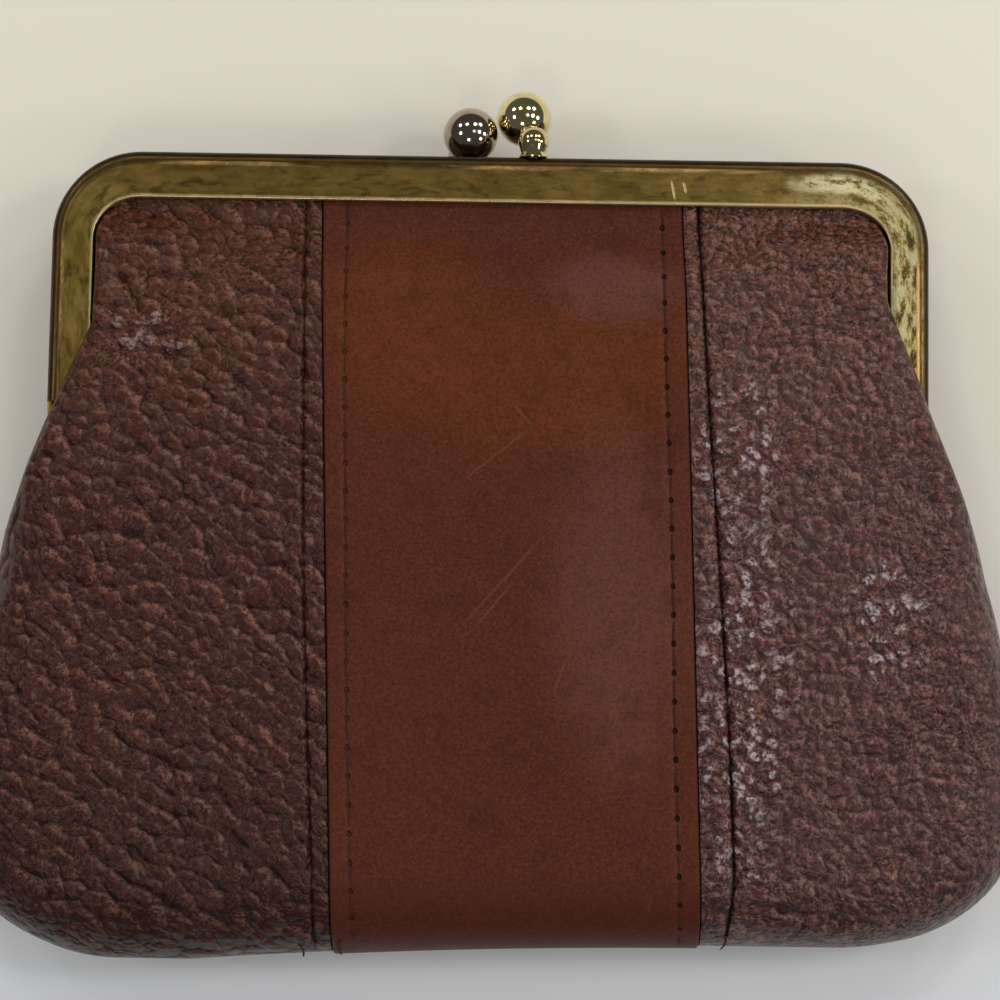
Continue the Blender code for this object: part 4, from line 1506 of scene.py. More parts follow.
@dataclass(frozen=True)
class SidePanel:
    """Pebbled leather on one side of one half of the bag."""

    shape: PurseShape
    side: Side
    face: Face
    sag: Sag
    roll_columns: int = 12
    body_columns: int = 56
    welt_offsets: tuple[float, ...] = (1.0, 0.55, 0.32, 0.16, 0.0, -0.16, -0.32, -0.55)
    band_start: float = 0.3
    band_shares: tuple[float, ...] = (0.45, 0.6, 0.75, 0.9)
    edge_gap: float = 0.08
    edge_step: float = 0.06
    welt_depths: tuple[float, float] = (0.26, 0.42)
    welt_width: float = 0.2
    welt_dome: float = 0.16

    @property
    def name(self) -> str:
        """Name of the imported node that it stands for."""
        return title(self.face, self.side, "panel")

    def edge(self, y: Array) -> Array:
        """Place of the strip's edge beside the panel at y."""
        return self.shape.strip_edge(self.side, y)

    def welt_offset(self, y: Array) -> Array:
        """Distance from the strip's edge to the seam line beside it.

        Args:
            y: Places along.

        Returns:
            The distances.
        """
        if self.side is Side.LEFT:
            return 2.1 + 0.25 * np.cos((y + 14.0) / 14.0)
        wide = part_way(ease((26.0 - y) / 70.0), 1.8, 3.6)
        return wide - 0.8 * ease((-46.0 - y) / 8.0)

    def roll_x(self, turn: float, y: Array, inset: float) -> Array:
        """Place of a column in the rounding of the side edge."""
        return self.shape.rolled_x(y, self.side, self.face, inset, turn)

    def welt_x(self, offset: float, y: Array, inset: float = 0.0) -> Array:
        """Place of a column beside the seam line."""
        return self.edge(y) + self.side.value * self.welt_offset(y) + self.side.value * offset

    def body_x(self, share: float, y: Array, inset: float) -> Array:
        """Place of a column between the rounding and the seam line."""
        return part_way(share, self.roll_x(1.0, y, inset), self.welt_x(1.0, y))

    def strip_x(self, offset: float, y: Array, inset: float = 0.0) -> Array:
        """Place of a column beside or under the strip's edge."""
        return self.edge(y) + self.side.value * offset

    def band_x(self, share: float, y: Array, inset: float) -> Array:
        """Place of a column between the seam line and the strip."""
        start, end = self.welt_x(self.welt_offsets[-1], y), self.strip_x(self.edge_gap + 0.1, y)
        return part_way((share - self.band_start) / (1.0 - self.band_start), start, end)

    def columns(self) -> list[Column]:
        """Columns from the side edge to under the strip.

        Returns:
            The columns.
        """
        turns = [step / self.roll_columns for step in range(self.roll_columns + 1)]
        shares = [step / self.body_columns for step in range(1, self.body_columns)]
        places = [partial(self.roll_x, turn) for turn in turns]
        places += [partial(self.body_x, share) for share in shares]
        places += [partial(self.welt_x, offset) for offset in self.welt_offsets]
        places += [partial(self.band_x, share) for share in self.band_shares]
        places.append(partial(self.strip_x, self.edge_gap + self.edge_step))
        ends = (self.edge_gap, -self.shape.lap_width)
        lapped = [partial(self.strip_x, offset) for offset in ends]
        leather = self.shape.leather
        made = [Column(place, 0.0, leather) for place in places]
        return made + [Column(place, self.shape.lap_drop, leather) for place in lapped]

    def seam_places(self, grid: Array) -> tuple[Array, Array]:
        """Distances of each point from the strip's edge and from the seam line.

        Args:
            grid: Columns by rows by 3 points.

        Returns:
            The two distances, columns by rows.
        """
        y = grid[..., 1]
        from_edge = self.side.value * (grid[..., 0] - self.edge(y))
        return from_edge, from_edge - self.welt_offset(y)

    def relief(self, grid: Array) -> Array:
        """Heights of the sag, the welt and its seam line over the outer face.

        Args:
            grid: Columns by rows by 3 points of the outer face.

        Returns:
            The heights.
        """
        from_edge, away = self.seam_places(grid)
        offset = self.welt_offset(grid[..., 1])
        depth = self.welt_depths[self.side is Side.RIGHT]
        heights = self.sag.at(grid, self.face) * ease((from_edge - 0.7) / 4.0)
        heights = heights - depth * ridge(away, self.welt_width)
        share = np.clip((from_edge - 0.1) / np.maximum(offset - 0.1, 0.1), 0.0, 1.0)
        heights = heights + self.welt_dome * np.sin(math.pi * share)
        heights = heights + 0.12 * ridge(away - 0.8, 0.5)
        return np.where(from_edge < self.edge_gap + 0.02, 0.0, heights)

    def build(self, workshop: Workshop) -> Object:
        """Build the panel and let it stand for its node.

        Args:
            workshop: Hinge and finishes.

        Returns:
            The panel.
        """
        outer, inner = self.shape.sheet(self.face, self.columns())
        from_edge, away = self.seam_places(outer)
        seam = np.stack([from_edge, away, np.zeros_like(away)], axis=-1).reshape(-1, 3)
        shell = Shell()
        shell.add_closed_sheet(push_out(outer, self.face, self.relief(outer)), inner)
        finish = workshop.finishes.pebbled[self.side]
        marks = {"seam_place": np.concatenate([seam, seam])}
        made = workshop.make(self.name + "_leather", shell, finish, marks)
        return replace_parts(made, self.name)


@dataclass(frozen=True)
class StitchRow:
    """Where a row of stitches runs down the centre strip."""

    shape: PurseShape
    side: Side
    face: Face
    top: float = 25.4
    lowest: float = -52.9

    def offset(self, y: Array) -> Array:
        """Distance from the strip's edge to the row.

        Args:
            y: Places along.

        Returns:
            The distances.
        """
        if self.side is Side.LEFT:
            return 2.15 + 0.6 * ease((y - 2.0) / 24.0) + 0.1 * np.cos(y / 9.0)
        return 2.2 + 0.08 * np.sin(y / 7.0)

    def x_at(self, y: Array) -> Array:
        """Place across of the row at y."""
        return self.shape.strip_edge(self.side, y) - self.side.value * self.offset(y)

    def path(self, sink: float) -> tuple[Array, Array]:
        """Points along the row and their running length.

        Args:
            sink: How far the row lies under the strip's outer face.

        Returns:
            The points in millimetres, and the length at each.
        """
        x = float(self.x_at(np.array(0.0)))
        rows = self.shape.rows(self.face, -self.shape.strip_proud, x)
        y = rows[(rows < self.top) & (rows > self.lowest)]
        across = self.x_at(y)
        height = self.shape.skin_height(across, y, self.face, sink - self.shape.strip_proud)
        points = np.stack([across, y, self.face.value * height], axis=1)
        steps = np.linalg.norm(np.diff(points, axis=0), axis=1)
        return points, np.concatenate([[0.0], np.cumsum(steps)])


@dataclass(frozen=True)
class CentreStrip:
    """Smooth leather strip down the middle of one half, lapped over the panels."""

    shape: PurseShape
    face: Face
    sag: Sag
    stitches: int = 27
    groove_depth: float = 0.17
    groove_width: float = 0.5
    rounding: tuple[tuple[float, float], ...] = (
        (0.0, 0.28), (0.04, 0.14), (0.12, 0.05), (0.25, 0.0), (0.6, 0.0), (1.0, 0.0)
    )
    lap_start: float = 1.3
    lap_spacing: float = 0.22
    lap_columns: int = 9
    middle_columns: int = 46
    far_from_stitches: float = 9.0

    @property
    def name(self) -> str:
        """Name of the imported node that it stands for."""
        return title(self.face, "centre_strip")

    def rows_of_stitches(self) -> list[StitchRow]:
        """The two rows of stitches that hold the strip."""
        return [StitchRow(self.shape, side, self.face) for side in Side]

    def x_at(self, share: float, offset: float, y: Array, inset: float) -> Array:
        """Place of a column at each y."""
        return part_way(share, *(self.shape.strip_edge(side, y) for side in Side)) + offset

    def columns(self) -> list[Column]:
        """Columns across the strip: rounded edge, lap, middle, lap, rounded edge.

        Returns:
            The columns.
        """
        shape = self.shape
        lap = shape.lap_width + shape.slot_gap
        edge = list(self.rounding)
        edge += [(self.lap_start + self.lap_spacing * n, 0.0) for n in range(self.lap_columns)]
        sides = [(offset, shape.seat_gap, drop) for offset, drop in edge if offset < lap]
        sides.append((lap, shape.seat_gap, 0.0))
        sides.append((lap + shape.lap_step, shape.leather, 0.0))
        made = [(0.0, offset, inner, drop) for offset, inner, drop in sides]
        shares = [step / self.middle_columns for step in range(5, self.middle_columns - 4)]
        made += [(share, 0.0, shape.leather, 0.0) for share in shares]
        made += [(1.0, -offset, inner, drop) for offset, inner, drop in reversed(sides)]
        proud = shape.strip_proud
        return [Column(partial(self.x_at, s, o), drop - proud, inner) for s, o, inner, drop in made]

    def seam_places(self, grid: Array) -> Array:
        """Distances to the strip's edge and to the stitches at each point.

        Args:
            grid: Columns by rows by 3 points.

        Returns:
            The distance to the edge, the distance to the nearest row of stitches
            and the number of stitches down to there.
        """
        x, y = grid[..., 0], grid[..., 1]
        left = x - self.shape.strip_edge(Side.LEFT, y)
        right = self.shape.strip_edge(Side.RIGHT, y) - x
        away, run = np.full_like(x, self.far_from_stitches), np.zeros_like(x)
        for row in self.rows_of_stitches():
            points, lengths = row.path(0.0)
            distance = x - row.x_at(y)
            pitch = lengths[-1] / (self.stitches - 1)
            here = np.interp(-y, -points[:, 1], lengths) / pitch
            near = np.abs(distance) < np.abs(away)
            away, run = np.where(near, distance, away), np.where(near, here, run)
        return np.stack([np.minimum(left, right), away, run], axis=-1)

    def build(self, workshop: Workshop) -> Object:
        """Build the strip and let it stand for its node.

        Args:
            workshop: Hinge and finishes.

        Returns:
            The strip.
        """
        outer, inner = self.shape.sheet(self.face, self.columns())
        seam = self.seam_places(outer)
        heights = self.sag.at(outer, self.face) * ease((seam[..., 0] - 0.5) / 5.0)
        heights = heights - self.groove_depth * ridge(seam[..., 1], self.groove_width)
        shell = Shell()
        shell.add_closed_sheet(push_out(outer, self.face, heights), inner)
        seam = seam.reshape(-1, 3)
        marks = {"seam_place": np.concatenate([seam, seam])}
        finish = workshop.finishes.smooth
        made = workshop.make(self.name + "_leather", shell, finish, marks)
        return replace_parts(made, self.name)


# ---- stitches


@dataclass(frozen=True)
class StitchTree:
    """Geometry Nodes tree that lays stitches along a row."""

    tree: bpy.types.NodeTree
    inputs: dict[str, str]

    @classmethod
    def grown(cls, sides: int = 8, rings: int = 6, wander: float = 0.06) -> "StitchTree":
        """Build the tree once.

        Args:
            sides: Sides of a stitch.
            rings: Rings of faces along a stitch.
            wander: Largest turn of a stitch from its row, in radians.

        Returns:
            The tree, with the identifiers of its inputs, which a modifier needs.
        """
        tree = bpy.data.node_groups.new("stitch_row", "GeometryNodeTree")
        kinds = {
            "Row": "Geometry", "Stitches": "Int", "Length": "Float", "Radius": "Float",
            "Thread": "Material", "Seed": "Int",
        }
        inputs = {}
        for name, kind in kinds.items():
            socket = tree.interface.new_socket(
                name, in_out="INPUT", socket_type="NodeSocket" + kind
            )
            inputs[name] = socket.identifier
        tree.interface.new_socket("Stitched", in_out="OUTPUT", socket_type="NodeSocketGeometry")
        given = tree.nodes.new("NodeGroupInput").outputs

        def step(
            kind: str, sockets: dict[str | int, Any], settings: dict[str, Any] | None = None
        ) -> Socket:
            """Add a node and hand over its first output."""
            return add_node(tree, kind, settings, sockets).outputs[0]

        curve = step("GeometryNodeMeshToCurve", {"Mesh": given["Row"]})
        points = {"Curve": curve, "Count": given["Stitches"]}
        spaced = step("GeometryNodeResampleCurve", points, {"mode": "COUNT"})
        round_sides = {"Segments": sides, "Rings": rings, "Radius": 1.0}
        ball = step("GeometryNodeMeshUVSphere", round_sides)
        half = step("ShaderNodeMath", {0: given["Length"], 1: 0.5}, {"operation": "MULTIPLY"})
        sizes = {0: given["Radius"], 1: given["Radius"], 2: half}
        size = step("ShaderNodeCombineXYZ", sizes)
        stitch = step("GeometryNodeTransform", {"Geometry": ball, "Scale": size})
        tangent = step("GeometryNodeInputTangent", {})
        turned = step("FunctionNodeAlignRotationToVector", {"Vector": tangent}, {"axis": "Z"})
        limits = {0: (-wander,) * 3, 1: (wander,) * 3, "Seed": given["Seed"]}
        turn = step("FunctionNodeRandomValue", limits, {"data_type": "FLOAT_VECTOR"})
        bent = step("FunctionNodeEulerToRotation", {0: turn})
        turns = {0: turned, 1: bent}
        both = step("FunctionNodeRotateRotation", turns, {"rotation_space": "LOCAL"})
        laid = step(
            "GeometryNodeInstanceOnPoints", {"Points": spaced, "Instance": stitch, "Rotation": both}
        )
        real = step("GeometryNodeRealizeInstances", {0: laid})
        smooth = step("GeometryNodeSetShadeSmooth", {"Geometry": real})
        dressed = step("GeometryNodeSetMaterial", {"Geometry": smooth, "Material": given["Thread"]})
        add_node(tree, "NodeGroupOutput", None, {0: dressed})
        return cls(tree, inputs)


@dataclass(frozen=True)
class Stitching:
    """Stitches of both rows on one half of the bag."""

    strip: CentreStrip
    length: float = 2.35
    radius: float = 0.14
    sink: float = 0.19

    @property
    def name(self) -> str:
        """Name of the stitches' object."""
        return title(self.strip.face, "stitches")

    def build(self, workshop: Workshop, tree: StitchTree) -> Object:
        """Lay the stitches with the tree and keep them as a plain mesh.

        Args:
            workshop: Hinge and finishes.
            tree: The built Geometry Nodes tree.

        Returns:
            The stitches of both rows as one object.
        """
        points: list[Array] = []
        edges: list[tuple[int, int]] = []
        for row in self.strip.rows_of_stitches():
            path, _ = row.path(self.sink)
            first = sum(len(block) for block in points)
            edges += [(first + i, first + i + 1) for i in range(len(path) - 1)]
            points.append(path)
        mesh = bpy.data.meshes.new(self.name + "_rows")
        mesh.from_pydata(workshop.placed(np.concatenate(points)), edges, [])
        made = bpy.data.objects.new(self.name, mesh)
        bpy.context.scene.collection.objects.link(made)
        modifier = made.modifiers.new("stitches", "NODES")
        modifier.node_group = tree.tree
        values = {
            "Stitches": self.strip.stitches, "Length": self.length * MM, "Radius": self.radius * MM,
            "Thread": workshop.finishes.thread, "Seed": 4 + self.strip.face.value,
        }
        for name, value in values.items():
            modifier[tree.inputs[name]] = value
        seen = made.evaluated_get(bpy.context.evaluated_depsgraph_get())
        final = bpy.data.meshes.new_from_object(seen)
        made.modifiers.clear()
        made.data = final
        final.name = self.name
        LOG.info("%s: %d points, %d faces", self.name, len(final.vertices), len(final.polygons))
        return made


@dataclass(frozen=True)
class ThreadEnds:
    """Cut ends of thread that hang out at the lower edge of the front."""

    shape: PurseShape
    places: tuple[float, ...] = (-19.0, -14.6, 25.9)
    radius: float = 0.14
    length: float = 1.5
    above_edge: float = 1.2
    start_height: float = 4.6
    fall: float = 2.4
    rings: int = 9
    sides: int = 8

    def build(self, workshop: Workshop) -> Object:
        """Build the ends as short bent tubes.

        Args:
            workshop: Hinge and finishes.

        Returns:
            The ends as one object.
        """
        share = np.linspace(0.0, 1.0, self.rings)[:, None]
        angle = np.linspace(0.0, 2.0 * math.pi, self.sides, endpoint=False)
        ring = np.stack([np.cos(angle), 0.4 * np.sin(angle), np.sin(angle)], axis=1)
        taper = self.radius * (1.0 - 0.4 * share ** 3)
        shell = Shell()
        for number, x in enumerate(self.places):
            bottom = float(self.shape.bottom_at(x))
            start = np.array([x, bottom + self.above_edge, self.start_height])
            lean = np.array([0.4 - 0.35 * number, -self.length, -self.fall])
            curl = np.array([0.5 * (-1.0) ** number, 0.0, 0.9])
            centre = start + share * lean + curl * np.sin(math.pi * share) * 0.5
            shell.add_swept(centre[:, None, :] + taper[:, None, :] * ring[None, :, :])
        return workshop.make("thread_ends", shell, workshop.finishes.thread)


# ---- lining


@dataclass(frozen=True)
class Lining:
    """Cloth lining of one half, from the channel down to the lower seam."""

    shape: PurseShape
    face: Face
    nodes: tuple[str, ...]
    cut: tuple[float, float] = (112.0, 92.0)
    roll_columns: int = 8
    body_columns: int = 60
    ripple_rise: float = 0.12
    ripple_size: float = 6.0
    ripple_seed: float = 31.0

    @property
    def name(self) -> str:
        """Name of the lining's object."""
        return title(self.face, "lining_cloth")

    def roll_x(self, side: Side, turn: float, y: Array, inset: float) -> Array:
        """Place of a column in the rounding of a side edge."""
        return self.shape.rolled_x(y, side, self.face, inset, turn)

    def body_x(self, share: float, y: Array, inset: float) -> Array:
        """Place of a column between the two roundings."""
        return part_way(share, *(self.roll_x(side, 1.0, y, inset) for side in Side))

    def columns(self) -> list[Column]:
        """Columns from the left edge to the right edge.

        Returns:
            The columns.
        """
        turns = [step / self.roll_columns for step in range(self.roll_columns + 1)]
        places = [partial(self.roll_x, Side.LEFT, turn) for turn in turns]
        shares = [step / self.body_columns for step in range(1, self.body_columns)]
        places += [partial(self.body_x, share) for share in shares]
        places += [partial(self.roll_x, Side.RIGHT, 1.0 - turn) for turn in turns]
        outer = self.shape.leather + self.shape.seat_gap
        return [Column(place, outer, outer + self.shape.lining) for place in places]

    def build(self, workshop: Workshop) -> Object:
        """Args:
            workshop: Hinge and finishes.

        Returns:
            The lining.
        """
        outer, inner = self.shape.sheet(self.face, self.columns())
        waves = swirl(inner.reshape(-1, 3), self.ripple_size, self.ripple_seed)
        ripple = self.ripple_rise * waves.reshape(inner.shape[:2])
        ripple = ripple * ease((22.0 - inner[..., 1]) / 6.0)
        shell = Shell()
        shell.add_closed_sheet(*(push_out(grid, self.face, ripple) for grid in (outer, inner)))
        made = workshop.make(self.name, shell, workshop.finishes.cloth)
        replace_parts(made, *self.nodes)
        return (made, title(self.face, "frame"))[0]


# ---- brass


def arc(radius: float, start: float, end: float, steps: int) -> list[tuple[float, float]]:
    """Points along an arc around zero."""
    angles = [part_way(step / steps, start, end) for step in range(steps + 1)]
    return [(radius * math.cos(angle), radius * math.sin(angle)) for angle in angles]


@dataclass(frozen=True)
class FrameHalf:
    """One brass channel of the frame, bent to a U, with its two hinge ears."""

    shape: PurseShape
    face: Face
    ear_radius: float = 2.6
    ear_thickness: float = 0.6
    ear_gap: float = 0.3
    ear_lap: float = 1.0
    ear_bevel: float = 0.12
    ear_sides: int = 40
    joggle_length: float = 2.0
    lip_round: float = 0.2
    chamfer: float = 0.3
    wobble: float = 0.035
    dent_size: float = 7.0
    dent_seed: float = 3.7
    round_steps: int = 8
    lip_steps: int = 4
    corner_steps: int = 20
    leg_rings: int = 14
    top_rings: int = 48

    @property
    def name(self) -> str:
        """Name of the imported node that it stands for."""
        return title(self.face, "frame")

    def section(self) -> list[tuple[float, float]]:
        """Outline of the channel.

        Returns:
            The inset and the height of each point.
        """
        shape = self.shape
        top, low = shape.face_height, shape.half_gap
        round_in, lip = shape.edge_round, self.lip_round
        points = [(self.chamfer, low), (0.1, low + 0.1), (0.0, low + self.chamfer)]
        points += [(0.0, part_way(share, low, top - round_in)) for share in (0.35, 0.65)]
        for along, up in arc(1.0, 0.0, QUARTER, self.round_steps):
            points.append((round_in * (1.0 - along), top - round_in + round_in * up))
        for share in (0.25, 0.5, 0.75):
            points.append((part_way(share, round_in, shape.band - lip), top - 0.03))
        for up, along in arc(lip, 0.0, QUARTER, self.lip_steps):
            points.append((shape.band - lip + along, top - lip + up))
        points.append((shape.band, top - shape.wall))
        points.append((shape.wall, top - shape.wall))
        points.append((shape.wall, shape.slot_bottom))
        points.append((shape.band, shape.slot_bottom))
        points.append((shape.band, low))
        return points

    def stations(self) -> Array:
        """Places along the U.

        Returns:
            The x and y of the centre line, and the outward direction, for each.
        """
        x, y = self.shape.corner_x, self.shape.corner_y
        legs = np.linspace(self.shape.leg_end, y, self.leg_rings, endpoint=False)
        across = np.linspace(-x, x, self.top_rings)[1:-1]
        made = [(-x, place, -1.0, 0.0) for place in legs]
        made += [(-x, y, *out) for out in arc(1.0, 2.0 * QUARTER, QUARTER, self.corner_steps)]
        made += [(place, y, 0.0, 1.0) for place in across]
        made += [(x, y, *out) for out in arc(1.0, QUARTER, 0.0, self.corner_steps)]
        return np.array(made + [(x, place, 1.0, 0.0) for place in legs[::-1]])

    def swept(self) -> Array:
        """Rings of the channel around the U, with the slight dents of use.

        Returns:
            The rings, rings by points by 3.
        """
        shape, start = self.shape, self.shape.edge_round
        rings = []
        for x, y, out_x, out_y in self.stations():
            side = Side.RIGHT if out_x > 0.0 else Side.LEFT
            band = shape.band_at(side, math.asin(min(out_y, 1.0)))
            narrowed = (band - start) / (shape.band - start)
            ring = []
            for inset, height in self.section():
                reach = shape.corner - inset + max(inset - start, 0.0) * (1.0 - narrowed)
                ring.append((x + reach * out_x, y + reach * out_y, self.face.value * height))
            rings.append(ring)
        made = np.array(rings)
        flat = made.reshape(-1, 3)
        dents = self.wobble * swirl(flat, self.dent_size, self.dent_seed * self.face.value)
        inward = dents - self.wobble
        flat[:, 2] += self.face.value * np.where(np.abs(flat[:, 2]) > 2.0, inward, 0.0)
        return flat.reshape(made.shape)

    def band_places(self) -> Array:
        """Inset, running length and height of each point of the channel.

        Returns:
            One row for each point, ring by ring.
        """
        stations = self.stations()
        middle = stations[:, :2] + stations[:, 2:] * (self.shape.corner - 0.5 * self.shape.band)
        steps = np.linalg.norm(np.diff(middle, axis=0), axis=1)
        run = np.concatenate([[0.0], np.cumsum(steps)])
        section = self.section()
        return np.array([(inset, length, height) for length in run for inset, height in section])

    def ear_points(self, side: Side) -> list[tuple[float, float, float]]:
        """Points of an ear: its round end on the axis and its neck.

        Args:
            side: Which ear.

        Returns:
            The points.
        """
        shape, sign = self.shape, self.face.value
        behind = 0.0 if self.face is Face.FRONT else self.ear_thickness + self.ear_gap
        outer = shape.half_width - behind
        low, high = shape.half_gap + self.chamfer, shape.face_height - shape.edge_round
        end = shape.leg_end + self.ear_lap
        places = arc(self.ear_radius, 0.0, 4.0 * QUARTER, self.ear_sides)[:-1]
        places += [(shape.leg_end, sign * low), (shape.leg_end, sign * high)]
        places += [(end, sign * (low + high) / 2.0), (end, sign * high)]
        faces = (outer - self.ear_thickness, outer)
        return [(side.value * x, y, height) for y, height in places for x in faces]

    def joggle_points(self, side: Side) -> list[tuple[float, float, float]]:
        """Points of the step that joins the back ear to its channel.

        Args:
            side: Which ear.

        Returns:
            The points.
        """
        shape = self.shape
        start_x = shape.half_width - self.ear_thickness * 2.0 - self.ear_gap
        across = (start_x, shape.half_width - shape.wall / 2.0)
        start_y = shape.leg_end + self.ear_lap / 2.0
        heights = (shape.half_gap + shape.wall / 2.0, shape.face_height - shape.wall / 2.0)
        rows = (start_y, start_y + self.joggle_length)
        return [(side.value * x, y, -h) for h in heights for y in rows for x in across]

    def build(self, workshop: Workshop) -> Object:
        """Build the channel and let it stand for its node.

        Args:
            workshop: Hinge and finishes.

        Returns:
            The channel with its ears.
        """
        shell = Shell()
        shell.add_swept(self.swept())
        band = self.band_places()
        for side in Side:
            shell.add_hull(self.ear_points(side), self.ear_bevel)
            if self.face is Face.BACK:
                shell.add_hull(self.joggle_points(side), self.ear_bevel)
        ears = np.full((shell.count - len(band), 3), (0.5 * self.shape.band, 0.0, 0.0))
        marks = {"band_place": np.concatenate([band, ears])}
        finish = workshop.finishes.brass
        made = workshop.make(self.name + "_brass", shell, finish, marks)
        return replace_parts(made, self.name)


@dataclass(frozen=True)
class Clasp:
    """One post of the clasp: foot, neck, bead and leaning stem, with its ball."""

    shape: PurseShape
    face: Face
    post: tuple[float, float]
    bead_radius: float
    knob: tuple[float, float]
    post_height: float = 3.2
    shank_radius: float = 0.8
    shank_depth: float = 0.8
    foot_radius: float = 1.6
    neck_radius: float = 1.35
    neck_rise: float = 0.8
    stem_radius: float = 1.0
    stem_lap: float = 0.6
    ball_radius: float = 3.0
    bore_depth: float = 0.5
    crossing: float = 0.4
    bead_steps: int = 14
    ball_steps: int = 32

    @property
    def bead(self) -> Vector:
        """Middle of the bead."""
        x, rise = self.post
        return Vector((x, self.shape.frame_height + rise, self.face.value * self.post_height))

    @property
    def ball(self) -> Vector:
        """Middle of the ball."""
        x, rise = self.knob
        return Vector((x, self.shape.frame_height + rise, -self.face.value * self.crossing))

    def foot_profile(self) -> list[tuple[float, float]]:
        """Profile of the shank, the foot, the neck and the bead.

        Returns:
            The height along the post and the radius of each point.
        """
        foot, radius = self.shape.frame_height, self.foot_radius
        neck = foot + self.neck_rise
        start = foot - self.shape.wall - self.shank_depth
        profile = [(start, 0.0), (start, self.shank_radius), (foot, self.shank_radius)]
        profile += [(foot, radius * 0.97), (foot + 0.12, radius)]
        profile += [(foot + 0.3, radius * 0.95), (neck - 0.2, self.neck_radius * 1.02)]
        low = -math.acos(min(self.neck_radius / self.bead_radius, 1.0))
        for across, along in arc(self.bead_radius, low, QUARTER, self.bead_steps)[1:]:
            profile.append((max(self.bead.y + along, neck - 0.15), across))
        profile[-1] = (profile[-1][0], 0.0)
        return profile

    def build_post(self, workshop: Workshop) -> Object:
        """Build the post and let it stand for its node.

        Args:
            workshop: Hinge and finishes.

        Returns:
            The post.
        """
        base = Vector((self.bead.x, 0.0, self.bead.z))
        lean = self.ball - self.bead
        reach = lean.length - self.ball_radius + self.stem_lap
        flare = self.stem_radius
        stem = [(0.0, 0.0), (0.0, flare), (reach * 0.6, flare * 0.94)]
        stem += [(reach, flare * 1.2), (reach, 0.0)]
        shell = Shell()
        shell.add_turned(self.foot_profile(), base, Vector((0.0, 1.0, 0.0)), 40)
        shell.add_turned(stem, self.bead, lean, 32)
        name = title(self.face, "clasp_post")
        finish = workshop.finishes.posts[self.face]
        made = workshop.make(name + "_brass", shell, finish)
        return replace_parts(made, name)

    def build_ball(self, workshop: Workshop) -> Object:
        """Build the ball, drilled where its stem goes in.

        Args:
            workshop: Hinge and finishes.

        Returns:
            The ball.
        """
        lean = (self.ball - self.bead).normalized()
        bore = self.stem_radius * 0.9
        start = -math.acos(bore / self.ball_radius)
        mouth = self.ball_radius * math.sin(start)
        deep = mouth + self.bore_depth
        profile = [(deep, 0.0), (deep, bore * 0.9), (mouth + 0.06, bore)]
        round_face = arc(self.ball_radius, start, QUARTER, self.ball_steps)
        profile += [(along, across) for across, along in round_face]
        profile[-1] = (profile[-1][0], 0.0)
        shell = Shell()
        shell.add_turned(profile, self.ball, lean, 64)
        name = title(self.face, "clasp_ball")
        finish = workshop.finishes.balls[self.face]
        made = workshop.make(name + "_brass", shell, finish)
        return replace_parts(made, name)


@dataclass(frozen=True)
class HingeRivet:
    """Rivet through the two ears at one side, with a domed head at each end."""

    shape: PurseShape
    side: Side
    radius: float = 0.9
    head_radius: float = 1.7
    rise: float = 0.5
    clearance: float = 0.15
    grip: float = 1.5

    def build(self, workshop: Workshop) -> Object:
        """Build the rivet and let it stand for its node.

        Args:
            workshop: Hinge and finishes.

        Returns:
            The rivet.
        """
        inner = self.shape.half_width - self.grip - self.clearance
        outer = self.shape.half_width + self.clearance
        dome = arc(1.0, 0.0, QUARTER, 8)
        head = self.head_radius
        profile = [(inner - self.rise * across, head * along) for across, along in dome]
        profile += [(inner, self.radius), (outer, self.radius)]
        profile += [(outer + self.rise * along, head * across) for across, along in dome]
        profile[-1] = (profile[-1][0], 0.0)
        shell = Shell()
        shell.add_turned(profile, Vector(), Vector((float(self.side.value), 0.0, 0.0)), 32)
        name = title(self.side, "hinge_rivet")
        made = workshop.make(name + "_brass", shell, workshop.finishes.brass)
        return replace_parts(made, name)


# ---- the whole purse


